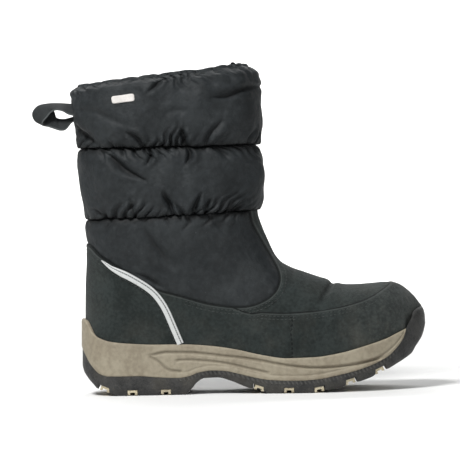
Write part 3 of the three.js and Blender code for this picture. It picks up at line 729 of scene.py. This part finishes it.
def creased(rows, creases):
    """The height of the listed creases at surface points: each is a narrow trough that wavers,
    fades at its ends and has a broad swelling on its left and a low one on its right."""
    height = np.zeros(rows.shape[:2])
    x, y, z = np.moveaxis(rows, -1, 0)
    waver_x = x + 0.9 * np.sin(z / 4.1 + 1.3) + 0.6 * np.sin(x / 5.3)
    waver_z = z + 0.9 * np.sin(x / 4.7 + 0.4) + 0.5 * np.sin(z / 3.1)
    for side, runs in creases.items():
        own = ease(-4, 4, side * (y - boot_middle(x, z)))
        for run, depth, half in runs:
            off, along = beside(spline(run, 16), waver_x, waver_z)
            bow = np.sin(np.pi * np.clip(along, 0, 1)).clip(0)
            off = off / (half * (0.55 + 0.35 * bow))
            trough = bell(off, 1) - 0.45 * bell(off - 2.6, 1.7) - 0.18 * bell(off + 2.2, 1.2)
            height -= 1.7 * depth * own * (0.3 + 0.7 * bow**0.7) * trough
    return height


def sine(turns):
    return np.sin(2 * np.pi * turns)


def gathers(turn, counts, seed):
    """Uneven puckers round a seam, from -1 to 1, as sharp valleys between round swellings.
    turn is the share of the way round, counts how many puckers each layer has."""
    total = 0
    for k, count in enumerate(counts):
        wander = 0.35 * sine(turn * (3 + k) + seed * 0.37 + k * 0.21)
        swelling = np.abs(np.sin(np.pi * (turn * count + wander) + seed + k))
        strength = 0.6 + 0.4 * sine(turn * (2 + k) + seed * 0.13)
        total = total + (1.6 * swelling - 1) * strength / len(counts)
    return total


def pockets(turn, away, count, seed, reach):
    """The depth of the small folds that run up from a gathered seam, 1 at the deepest. They are
    unevenly spaced and leaning, and some are far longer than others. away is the distance
    from the seam."""
    deepest = np.zeros(np.broadcast(turn, away).shape)
    for i in range(count):
        a, b, c = (np.sin(seed + i * k) for k in (12.9898, 78.233, 37.719))
        middle = (i + 0.42 * a) / count
        off = ((turn - middle + 0.5) % 1 - 0.5) * AROUND_SHAFT - 1.1 * c * away
        off -= 1.6 * np.sin(away / 2.2 + i)
        half = (0.9 + 0.6 * a * a) * (1 + away / 9)
        fold = bell(off, half) * bell(away, reach * (0.4 + 0.8 * b**4))
        deepest = np.maximum(deepest, (0.25 + 0.85 * b * b) * fold)
    return deepest


def lumps(turn, share, seed):
    """Broad uneven swellings of the stuffing, from about -1 to 1: crossing waves whose lines
    wander."""
    total = 0
    for k, (round_count, up_count) in enumerate(((5, 0.7), (8, -1.1), (11, 0.9), (14, -0.6))):
        wander = 0.5 * np.sin(2 * np.pi * (turn * (2 + k) + share * 0.8) + seed + k)
        lines = 2 * np.pi * (turn * round_count + share * up_count)
        total = total + np.sin(lines + wander + seed * k)
    return total / 4


def wobble(turn, seed):
    """How a quilting seam strays up and down on its way round, from -1 to 1."""
    waves = ((6, 0.5), (13, 0.3), (23, 0.2))
    return sum(w * np.sin(2 * np.pi * turn * n + seed * n) for n, w in waves)


def arc_uv(rows):
    """Lengths along the rows and up the columns, in millimetres, for a cloth's weave."""
    u = np.cumsum(length(np.diff(rows, axis=1, prepend=rows[:, -1:])), 1)
    v = np.cumsum(length(np.diff(rows, axis=0, prepend=rows[:1])), 0)
    return np.stack(np.broadcast_arrays(u.mean(0), v), -1)


def nylon_look(nodes, place):
    cloth = mottled(nodes, place, 24.0, colour(20, 24, 26), colour(35, 39, 41))
    cloth = nodes.put(dust, {"Place": place, "Colour": cloth, "Dust": colour(92, 96, 96),
                             "From": 0.17, "Amount": 0.2})["Colour"]
    lint = nodes.span(nodes.noise(place, 640.0, 1.0), 0.74, 0.82, 0.0, 0.25)
    cloth = nodes.blend(lint, cloth, colour(92, 96, 96))
    # Painted shade: the cloth is painted near black in a ragged band along its quilting seams, and
    # in its folds and creases, where shade falls.
    ragged = nodes.math("MULTIPLY_ADD", nodes.noise(place, 170.0, 2.0), -6.0, 3.0)
    to_seam = nodes.math("ADD", nodes.read("seam"), ragged)
    cloth = nodes.blend(nodes.span(to_seam, 6.0, 0.8, 0.0, 0.85), cloth, colour(8, 10, 11))
    fold_shade = nodes.span(nodes.read("fold"), 0.12, 0.9, 0.0, 0.75)
    cloth = nodes.blend(fold_shade, cloth, colour(9, 11, 12))
    # A plain weave of 0.45 mm threads lies over finer crinkles.
    crinkle = nodes.noise(place, 150.0, 4.0, 0.6)
    uv = nodes.uv()
    threads = nodes.times(nodes.wave(uv[0], 0.0009), nodes.wave(uv[1], 0.0009))
    height = nodes.math("MULTIPLY_ADD", threads, 0.02, crinkle)
    rough = nodes.span(nodes.noise(place, 70.0, 2.0), 0.35, 0.65, 0.62, 0.72)
    return {"Base Color": cloth, "Roughness": rough, "Height": height, "Bump": 0.0011}


nylon = material("quilted_nylon", nylon_look, Specular_IOR_Level=0.3)


def quilted(name, points, faces, seam, fold, cloth):
    """A padded piece of nylon, with painted shade near its seams and in its folds. Its weave follows
    cloth.
    """
    made = piece(name, points, faces, nylon, {"seam": seam, "fold": fold},
                 replaces=["upper"], uv=arc_uv(cloth))


def raised(rows, form, normal):
    return rows + form[..., None] * normal


def cut(rows, keep):
    """The quads of a closed grid whose corners are all kept."""
    faces = ring_faces(rows)
    return faces[keep.reshape(-1)[faces].all(1)]


# The ankle quarter: swollen away from the suede's edge and gathered under the lower seam.
foot, foot_normal = between(foot_lines, footbed, seam_low, np.linspace(0, 1, FOOT_ROWS))
foot_x, foot_z = foot[..., 0], foot[..., 2]
in_quarter = beside(spline(QUARTER_EDGE, 90), foot_x, foot_z)[0]
foot_turn = np.linspace(0, 1, FOOT_COLUMNS, endpoint=False)
under_seam = seam_low(foot_x) - foot_z
quarter_creases = creased(foot, QUARTER_CREASES) * ease(0, 6, in_quarter)
quarter_folds = pockets(foot_turn, under_seam, 34, 9.1, 9) * ease(0, 2, under_seam)
puckers = 0.7 * gathers(foot_turn, (44, 71), 2.1) * np.exp(-under_seam / 7) * ease(0, 4, under_seam)
puckers += 0.45 * gathers(foot_turn, (60, 97), 0.6) * np.exp(-np.maximum(in_quarter, 0) / 6)
quarter_form = QUARTER_PUFF * rounded(np.minimum(in_quarter, 2.2 * under_seam) / 20, 2) - 0.7
quarter_form += quarter_creases - 2.4 * quarter_folds + puckers
# Its seam value sets painted shade along the suede's edge and under the lower seam, and its fold
# value sets painted shade in its folds and creases.
quilted("ankle_quarter", raised(foot, quarter_form, foot_normal), cut(foot, in_quarter > -4),
        np.minimum(1.8 * np.abs(in_quarter) + 1.5, under_seam),
        quarter_folds - np.minimum(quarter_creases, 0) / 4, foot)

share = closer_at_ends(TIER_ROWS)[:, None]
turn = np.linspace(0, 1, SHAFT_COLUMNS, endpoint=False)
below, above = TIER_HEIGHT * share, TIER_HEIGHT * (1 - share)
to_seam = np.broadcast_to(np.minimum(below, above), (TIER_ROWS, SHAFT_COLUMNS))


def tier(low, high, creases, seeds, strays):
    """The surface of a quilted tier between two seams, its normals, its swelling, its sag and
    how deep in a fold each point is. A swelling is sqrt(4 s (1 - s)) high at the share s of
    the way up, with lumps and creases in it, and it is gathered at both seams. The seeds of
    the gathers and the strays belong to the lower and the upper seam, so tiers that share a
    seam agree on them."""
    rows, normal = between(shaft_lines, low, high, share[:, 0])
    flat_back = 1 - 0.45 * ease(30, 4, rows[..., 0])
    swell = share**0.85
    creases = creased(rows, creases)
    low_folds = pockets(turn, below, 43, seeds[0], 13) * ease(-1, 1.5, below)
    high_folds = pockets(turn, above, 41, seeds[1] + 5, 9) * ease(-1, 1.5, above)
    fold = np.clip(-creases / 4, 0, 1) + 0.9 * low_folds + 0.9 * high_folds
    form = PUFF * flat_back * np.sqrt(4 * swell * (1 - swell)) + creases
    form += 2.3 * lumps(turn, share, seeds[0]) * ease(0, 14, to_seam)
    low_pucker = gathers(turn, (12, 22, 37), seeds[0])
    high_pucker = gathers(turn, (13, 25, 40), seeds[1])
    form += 1.5 * low_pucker * np.exp(-below / 9) * ease(0, 2.5, below)
    form += 1.2 * high_pucker * np.exp(-above / 9) * ease(0, 2.5, above)
    form -= 4.2 * low_folds + 3.8 * high_folds
    form -= 2.4 * np.exp(-below / 2) + 2.4 * np.exp(-above / 2)
    sag = -2.2 * (1 + 0.7 * low_pucker) * ease(0, 3, below) * np.exp(-below / 7)
    sag += 0.9 * high_pucker * ease(0, 3, above) * np.exp(-above / 6)
    sag += 0.9 * (strays[0] * np.exp(-below / 12) + strays[1] * np.exp(-above / 12))
    return rows, normal, form, sag, fold


low_stray, top_stray = wobble(turn, 0.7), wobble(turn, 2.9)
rows, normal, form, sag, fold = tier(seam_low, seam_top, MIDDLE_CREASES, (0.4, 1.9),
                                     (low_stray, top_stray))
middle_points = raised(rows, form, normal)
middle_points[..., 2] += sag
quilted("middle_tier", middle_points, ring_faces(rows), to_seam, fold, rows)

# The collar tier is drawn in at its rim, leans back a little and is turned over at the top.
rows, normal, form, sag, fold = tier(seam_top, collar, COLLAR_CREASES, (1.9, 3.1), (top_stray, 0))
drawn = ease(0.86, 1, share)
rim_pucker = gathers(turn, (11, 19, 31), 5.2)
form += drawn * (1.4 * rim_pucker - COLLAR_DRAW)
form -= 2.2 * normal[..., 0] ** 2 * ease(0, 12, to_seam) + 2.4 * pockets(turn, above, 26, 8.3, 13)
collar_points = raised(rows, form, normal)
collar_points[..., 0] -= 1.8 * ease(204, 244, rows[..., 2])
collar_points[..., 2] += sag * (1 - drawn) + drawn * (1.5 * rim_pucker - 2.4)
roll = np.linspace(0, 1, ROLL_ROWS + 1)[1:, None]
turned = np.pi * np.minimum(roll * 1.6, 1)
inwards = 2.3 * (1 - np.cos(turned)) * np.ones(SHAFT_COLUMNS)
rolled = raised(collar_points[-1], -inwards, normal[-1] * [1, 1, 0])
rolled[..., 2] += 2.3 * np.sin(turned) - 22 * np.maximum(roll - 0.625, 0)
collar_points = np.concatenate([collar_points, rolled])
collar_seam = np.concatenate([to_seam, np.full(rolled.shape[:2], 8.0)])
collar_seam[60:] = 8  # no painted seam shade at the rim
collar_fold = np.concatenate([fold, np.zeros(rolled.shape[:2])])
quilted("collar_tier", collar_points, ring_faces(collar_points), collar_seam, collar_fold,
        collar_points)

# ---- suede panels ----
# Three suede panels lie over the upper: the vamp, the mudguard sewn over it round the toe, and
# the heel counter over the mudguard. They are cut from 1.5 mm suede and sewn in double rows.

TAPE_LINE = [(57.5, 84.6), (66, 74), (72, 61), (77.5, 49), (83, 36), (88, 18), (90, 0)]
APRON_SEAM = [(88, 88), (131, 66.2), (148, 65), (165, 64), (183, 64.4), (200, 66), (216, 68.6),
              (231, 73), (243, 79), (253, 86), (260, 96)]
SIDE_SEAM_X = 170
VAMP_CREASES = {OUTER: [
    ([(208, 90), (201, 81), (193, 70)], 1.7, 3.0),
    ([(176, 99), (170, 88), (167, 76)], 0.9, 3.4),
], INNER: [
    ([(207, 88), (199, 78), (190, 70)], 1.3, 3.4),
]}


def suede_look(nodes, place):
    toe = nodes.span(nodes.parts(place)[0], 0.13, 0.21)
    dark = nodes.blend(toe, colour(30, 35, 34), colour(44, 48, 47))
    light = nodes.blend(toe, colour(45, 51, 50), colour(64, 68, 66))
    nap = mottled(nodes, place, 44.0, dark, light)
    dusty = nodes.put(dust, {"Place": place, "Colour": nap, "Dust": colour(112, 108, 98),
                             "From": 0.11, "Amount": nodes.math("MULTIPLY_ADD", toe, 0.3, 0.14)})
    edge = nodes.read("edge")
    # Painted highlight: a lighter band just in from each panel's free edge, along its rolled edge.
    tint_mask = nodes.times(nodes.span(edge, 0.3, 0.8), nodes.span(edge, 2.0, 1.2, 0.0, 0.3))
    seen = nodes.blend(tint_mask, dusty["Colour"], colour(84, 88, 86))
    # Painted shade: a near-black line along each panel's edge and down the mudguard's side seam.
    seen = nodes.blend(nodes.span(edge, 0.7, 0.1, 0.0, 0.8), seen, colour(12, 14, 14))
    hair = nodes.noise(place, 1500.0, 4.0, 0.8)
    dents = nodes.math("MULTIPLY_ADD", nodes.noise(place, 170.0, 3.0), 1.6, hair)
    return {"Base Color": seen, "Height": dents, "Bump": 0.00042}


def panel_form(free, base, thick=0.8):
    """How far a sewn panel stands off the surface, by the distance in from its free edge: a
    rolled edge, then a shallow trench under each of its two rows of stitches."""
    form = base + thick * (2 * rounded((free + 1.4) / 2.6, 2) - 1)
    return form - 0.3 * bell(free - 2.4, 0.7) - 0.25 * bell(free - 4.9, 0.7)


def panel(name, free, inside, form):
    """A suede panel: the foot's surface raised by form, kept where inside is above zero."""
    over_footbed = footbed(foot_x) + 3 < foot_z
    sole_edge = np.where(foot_x > 262, 60, midsole_top(foot_x))
    points = raised(foot, form * ease(-3, 1, foot_z - sole_edge), foot_normal)
    piece(name, points, cut(foot, (inside > 0) & over_footbed), suede, {"edge": free},
          replaces=[name], uv=arc_uv(foot))


suede = material("suede", suede_look, Roughness=0.95, Sheen_Weight=0.06, Sheen_Roughness=0.6,
                 Specular_IOR_Level=0.12)
before_tape = beside(spline(TAPE_LINE, 40), foot_x, foot_z)[0]
over_apron = beside(spline(APRON_SEAM, 80), foot_x, foot_z)[0]

vamp_form = panel_form(-in_quarter, 0.1) + creased(foot, VAMP_CREASES)
panel("vamp", -in_quarter, np.minimum(1.6 - in_quarter, over_apron + 3), vamp_form)

# The mudguard is joined at the side by a wavering seam under the vamp, sunk in and drawn with
# painted shade.
guard_free = np.minimum(-in_quarter, -over_apron)
past_seam = foot_x - SIDE_SEAM_X
wavering = past_seam + 0.7 * np.sin(foot_z / 3.3)
guard_form = panel_form(guard_free, 0.6) - 1.1 * bell(wavering, 1.3) * ease(64, 61, foot_z)
guard_form += 0.25 * ease(0, 1.2, past_seam) * ease(40, 4, past_seam)
# Along the seam the edge value is kept small, so that shade is painted there.
in_seam = (foot_z < 62) & (np.abs(wavering) < 1.5)
guard_edge = np.where(in_seam, 0.36 + 0.2 * np.sin(foot_z * 1.7), guard_free)
panel("mudguard", guard_edge, np.minimum(guard_free + 1.6, before_tape + 4), guard_form)

heel_free = np.minimum(-in_quarter, -before_tape)
panel("heel_counter", heel_free, heel_free + 1.6, panel_form(heel_free, 1.1))

# ---- reflective tape ----
# A grey tape with a wide and a narrow reflective strip is sewn over the counter's front edge.

TAPE_RUN = [(19.6, 109.5), (26.3, 103.9), (33.2, 99.9), (41.1, 95.8), (50.9, 89.8), (57.8, 84.6),
            (62.8, 79.2), (67.7, 71.8), (71.2, 64.4), (74.6, 56), (78.1, 47.1), (80.5, 41.2)]
TAPE_WIDTH, TAPE_COLUMNS = 5.8, 151
TAPE_TAPER = 34  # columns over which its upper end narrows


def on_side(x, z, side, lift):
    """Points at a lift over the boot's side from their place in the side view, and the
    normals there: (-dh/dx, side, -dh/dz) made one long, where h is half the boot's width."""
    step = 0.5
    slope_x = (boot_half(x + step, z) - boot_half(x - step, z)) / (2 * step)
    slope_z = (boot_half(x, z + step) - boot_half(x, z - step)) / (2 * step)
    normal = unit(np.stack([-slope_x, np.full(x.shape, side), -slope_z], -1))
    base = np.stack([x, boot_middle(x, z) + side * boot_half(x, z), z], -1)
    return raised(base, np.broadcast_to(lift, x.shape), normal), normal


def left_of(line):
    """Unit vectors to the left of a run of points."""
    along = unit(np.gradient(line, axis=0))
    return np.stack([-along[:, 1], along[:, 0]], -1)


def tape_look(nodes, place):
    across = nodes.read("across")
    wide = nodes.times(nodes.span(across, -3.0, -2.8), nodes.span(across, 0.5, 0.3))
    thin = nodes.times(nodes.span(across, 1.3, 1.5), nodes.span(across, 2.8, 2.6))
    shine = nodes.math("MAXIMUM", wide, thin)
    # Worn patches dull the reflective strips.
    tint_mask = nodes.span(nodes.noise(place, 260.0, 4.0, 0.7), 0.55, 0.72, 0.0, 0.5)
    bright = nodes.blend(tint_mask, colour(196, 198, 197), colour(150, 152, 151))
    dots = nodes.span(nodes.wave(nodes.read("along"), 1.7), -0.2, 0.3)
    gap = nodes.blend(dots, colour(96, 99, 99), colour(150, 152, 151))
    return {"Base Color": nodes.blend(shine, gap, bright), "Height": nodes.noise(place, 900.0),
            "Roughness": nodes.span(shine, 0.0, 1.0, 0.8, 0.42), "Bump": 0.0001}


tape_finish = material("reflective_tape", tape_look, Specular_IOR_Level=0.5)
tape_run = spline(TAPE_RUN, TAPE_COLUMNS - 1)
tape_across = np.linspace(-1, 1, 17)[:, None]
tape_half = TAPE_WIDTH / 2 * rounded((np.arange(TAPE_COLUMNS) + 1) / TAPE_TAPER, 1.25)
tape_along = np.cumsum(length(np.gradient(tape_run, axis=0)))
tape_grid = tape_run + (tape_across * tape_half)[..., None] * left_of(tape_run)
tape_lift = 2.5 + 1.2 * (rounded((1 - np.abs(tape_across)) * 4, 2) - 1)
for side, name in ((OUTER, "tape_outer"), (INNER, "tape_inner")):
    tape, _ = on_side(tape_grid[..., 0], tape_grid[..., 1], side, tape_lift)
    faces = grid_faces(*tape.shape[:2])[:, ::-side]
    piece(name, tape, faces, tape_finish,
          {"across": tape_across * TAPE_WIDTH / 2, "along": tape_along})

# ---- side label ----
# A small bare white label is heat-pressed on the collar tier's outer side.

LABEL_CENTRE, LABEL_TILT = (39.4, 239.3), np.radians(6)
LABEL_LENGTH, LABEL_HEIGHT, LABEL_CORNER = 19, 6.4, 2


def label_look(nodes, place):
    return {"Base Color": mottled(nodes, place, 120.0, colour(196, 192, 188), colour(214, 210, 206))}


label_finish = material("side_label", label_look, Roughness=0.5)
u, v = np.meshgrid(np.linspace(-1, 1, 41), np.linspace(-1, 1, 15))
label_v = v * LABEL_HEIGHT / 2
past_corner = np.clip((np.abs(label_v) - LABEL_HEIGHT / 2) / LABEL_CORNER + 1, 0, 1)
label_u = u * (LABEL_LENGTH / 2 - LABEL_CORNER * (1 - np.sqrt(1 - past_corner**2)))
label_x = LABEL_CENTRE[0] + label_u * np.cos(LABEL_TILT) - label_v * np.sin(LABEL_TILT)
label_z = LABEL_CENTRE[1] + label_u * np.sin(LABEL_TILT) + label_v * np.cos(LABEL_TILT)
# It lies on the best second-degree surface through the nylon behind it.
nylon_tree = BVHTree.FromPolygons([Vector(p) for p in collar_points.reshape(-1, 3)],
                                  ring_faces(collar_points).tolist())
behind = [nylon_tree.ray_cast(Vector((x, -200, z)), Vector((0, 1, 0)))[0].y
          for x, z in zip(label_x.ravel(), label_z.ravel())]
terms = np.stack([np.ones(u.size), *(t.ravel() for t in (u, v, u * u, u * v, v * v))], -1)
label_y = (terms @ np.linalg.lstsq(terms, np.array(behind), rcond=None)[0]).reshape(u.shape)
label_y += 1.5 * (1 - rounded((1 - np.maximum(np.abs(u), np.abs(v))) * 5, 2)) - 0.9
piece("side_label", np.stack([label_x, label_y, label_z], -1), grid_faces(*u.shape),
      label_finish)

# ---- pull loop ----
# A webbing strap, 15 mm wide, is folded to a loop with a twist and sewn into the back seam.

# Its two edges, from the seam's upper end over the turn and the fold to the lower end, as
# (station, sideways, height) of one edge and then of the other.
LOOP_EDGES = [
    (5, 5.5, 237, 5, -5.5, 226), (-4, 5.6, 236.6, -5, -5.6, 227.4),
    (-13, 5.8, 237.2, -11.5, -5.6, 230.8), (-23.5, 5, 237.2, -16.8, -5, 231.6),
    (-32, 4.2, 235.4, -20.6, -4.6, 229.6), (-36.4, 4, 229.6, -24.2, -4.6, 225.6),
    (-34.6, 4.4, 223.6, -27.4, -4.8, 222.2), (-29.4, 5.4, 222, -27.4, -3.8, 219.4),
    (-24, 5.8, 230, -23, -2, 218), (-19, 5.6, 231.4, -18, -1, 216.2),
    (-17.2, 5.2, 226, -12.8, -0.4, 214.8), (-12.2, 4.8, 224.4, -8.6, 0, 216),
    (-5.6, 4.4, 225.2, -3.6, 0, 221.6), (5, 4.4, 228, 5, 0, 224),
]
LOOP_THICK = 1.6


def strap_look(nodes, place):
    uv = nodes.uv()
    rib = nodes.wave(nodes.math("ADD", uv[0], uv[1]), 0.0015)
    base = mottled(nodes, place, 140.0, colour(32, 35, 36), colour(46, 49, 50))
    # The selvedges are painted lighter: partly the webbing's own edge weave, partly a painted
    # highlight.
    base = nodes.blend(nodes.span(nodes.read("edge"), 0.80, 0.94), base, colour(78, 82, 82))
    return {"Base Color": base, "Height": rib, "Bump": 0.00014}


def squared(wave, power):
    """A sine or cosine flattened towards its sign: sign(w) |w|^power."""
    return np.sign(wave) * np.abs(wave) ** power


strap = material("webbing", strap_look, Roughness=0.72, Specular_IOR_Level=0.3)
one_edge, other_edge = np.split(spline(LOOP_EDGES, 140)[:, None], 2, axis=-1)
loop_middle, loop_wide = (one_edge + other_edge) / 2, (other_edge - one_edge) / 2
loop_ahead = np.gradient(loop_middle, axis=0)
loop_flat = unit(np.cross(loop_ahead, loop_wide))
around = np.linspace(0, 2 * np.pi, 32, endpoint=False)
section_w = squared(np.cos(around), 0.4)
section_t = LOOP_THICK / 2 * squared(np.sin(around), 0.6)
loop_points = loop_middle + section_w[:, None] * loop_wide + section_t[:, None] * loop_flat
loop_length = np.cumsum(length(loop_ahead))[:, None]
loop_uv = np.stack(np.broadcast_arrays(loop_length, length(loop_wide) * section_w), -1)
piece("pull_loop_webbing", loop_points, ring_faces(loop_points), strap,
      {"edge": np.abs(section_w)}, replaces=["pull_loop"], uv=loop_uv)

# ---- stitching ----
# Polyester thread: double rows along the suede's free edges and one row down each edge of the
# tape.

STITCH_LENGTH, STITCH_HALF_WIDTH, STITCH_HALF_HEIGHT = 2.5, 0.34, 0.28
ROWS_IN = (-2.4, -4.9)  # the double row, from a panel's edge


def thread_look(nodes, place):
    return {"Base Color": mottled(nodes, place, 200.0, colour(24, 28, 27), colour(54, 58, 56))}


thread = material("thread", thread_look, Roughness=0.7)
# One stitch is a long bead: rings of points from end to end of an ellipsoid.
lat, lon = np.meshgrid(np.linspace(0, np.pi, 6), np.linspace(0, 2 * np.pi, 8, endpoint=False),
                       indexing="ij")
bead = np.stack([np.cos(lat), np.sin(lat) * np.cos(lon), np.sin(lat) * np.sin(lon)], -1)
bead_faces = ring_faces(bead)
bead = bead.reshape(-1, 3) * [STITCH_LENGTH / 2, STITCH_HALF_WIDTH, STITCH_HALF_HEIGHT]


def sewn(line, normals, pitch):
    """Bead points for stitches spaced along a run of 3D points: each bead's own three
    directions are along the run, across it and up from the surface."""
    total = np.cumsum(length(np.diff(line, axis=0, prepend=line[:1])))
    at = np.arange(pitch / 2, total[-1], pitch)

    def read(values, where):
        return np.stack([np.interp(where, total, values[:, k]) for k in range(3)], -1)

    up = unit(read(normals, at))
    along = read(line, at + 0.5) - read(line, at - 0.5)
    along = unit(along - (along * up).sum(1, keepdims=True) * up)
    frames = np.stack([along, np.cross(up, along), up], 1)
    return read(line, at)[:, None] + bead @ frames


def sew(name, runs, pitch=3.3):
    """One piece of thread from several runs of (points, normals)."""
    beads = np.concatenate([sewn(line, normals, pitch) for line, normals in runs])
    faces = bead_faces + len(bead) * np.arange(len(beads))[:, None, None]
    piece(name, beads.reshape(-1, 3), faces.reshape(-1, 4), thread)


def side_runs(line, distances, lift):
    """Rows of stitches on both sides of the boot, at distances to the left of a line."""
    runs = []
    for distance in distances:
        x, z = (line + distance * left_of(line)).T
        on_boot = boot_half(x, z) > 3
        runs += [on_side(x[on_boot], z[on_boot], side, lift) for side in (OUTER, INNER)]
    return runs


edge = spline(QUARTER_EDGE, 400)[25:-25]
edge_x, edge_z = edge.T
apron = spline(APRON_SEAM, 400)
sew("suede_stitching",
    side_runs(edge[edge_x < 58], ROWS_IN, 1.75)
    + side_runs(edge[(edge_x > 62) & (edge_z < 78)], ROWS_IN, 1.2)
    + side_runs(edge[(edge_x > 150) & (edge_z > 78)], ROWS_IN, 0.75)
    + side_runs(apron[apron[:, 0] > 136], ROWS_IN, 1.2))
sew("tape_stitching", side_runs(spline(TAPE_RUN, 300)[40:], (-3.7, 0.9), 2.3), 3.0)

# ---- floor, light and camera ----
# A paper sweep, flat under the boot and then curved up behind it, under three soft lamps.

paper = material("paper", lambda nodes, place: {}, Base_Color=colour(240, 240, 239), Roughness=0.95)
turn_up = np.radians(np.linspace(0, 90, 25))
sweep_y = np.concatenate([[-4], 2.6 + np.sin(turn_up), [3.6]])
sweep_z = np.concatenate([[0], 1 - np.cos(turn_up), [4]])
sweep = [(x, y, z) for y, z in zip(sweep_y, sweep_z) for x in (-4, 4)]
floor_mesh = bpy.data.meshes.new("paper")
floor_mesh.from_pydata(sweep, [], [(i, i + 1, i + 3, i + 2) for i in range(0, len(sweep) - 2, 2)])
floor_mesh.shade_smooth()
floor_mesh.materials.append(paper)
in_scene("paper", floor_mesh)

world = bpy.data.worlds.new("studio")
bpy.context.scene.world = world
world.use_nodes = True
sky = world.node_tree.nodes["Background"].inputs
sky["Color"].default_value = colour(246, 247, 249)
sky["Strength"].default_value = 0.2

# Lamps: place, what it is aimed at, its two sizes and its power in watts.
for name, place, aim, size, power in (
        ("key", (-0.5, -0.95, 1.45), (0.08, 0, 0.12), (0.5, 0.4), 33),
        ("fill", (1.2, -1.5, 0.9), (0.08, 0, 0.12), (1.0, 1.0), 4),
        ("back", (0.2, 2.3, 2.2), (0.08, 3.0, 0.0), (3.0, 0.8), 90)):
    light = bpy.data.lights.new(name, "AREA")
    light.shape = "RECTANGLE"
    light.size, light.size_y = size
    light.energy = power
    lamp = in_scene(name, light)
    lamp.location = place
    lamp.rotation_euler = (Vector(aim) - Vector(place)).to_track_quat("-Z", "Y").to_euler()

LEVEL, ROLL, DISTANCE = np.radians(1.5), np.radians(1.3), 3.016
CENTRE = Vector((0.068, 0, 0.131))
camera = in_scene("camera", bpy.data.cameras.new("camera"))
camera.data.lens, camera.data.sensor_width = 290, 36
back = Vector((0, -np.cos(LEVEL), np.sin(LEVEL)))
camera.location = CENTRE + DISTANCE * back
camera.rotation_mode = "QUATERNION"
camera.rotation_quaternion = (-back).to_track_quat("-Z", "Y") @ Quaternion((0, 0, 1), -ROLL)
bpy.context.scene.camera = camera
bpy.context.scene.view_settings.view_transform = "Standard"
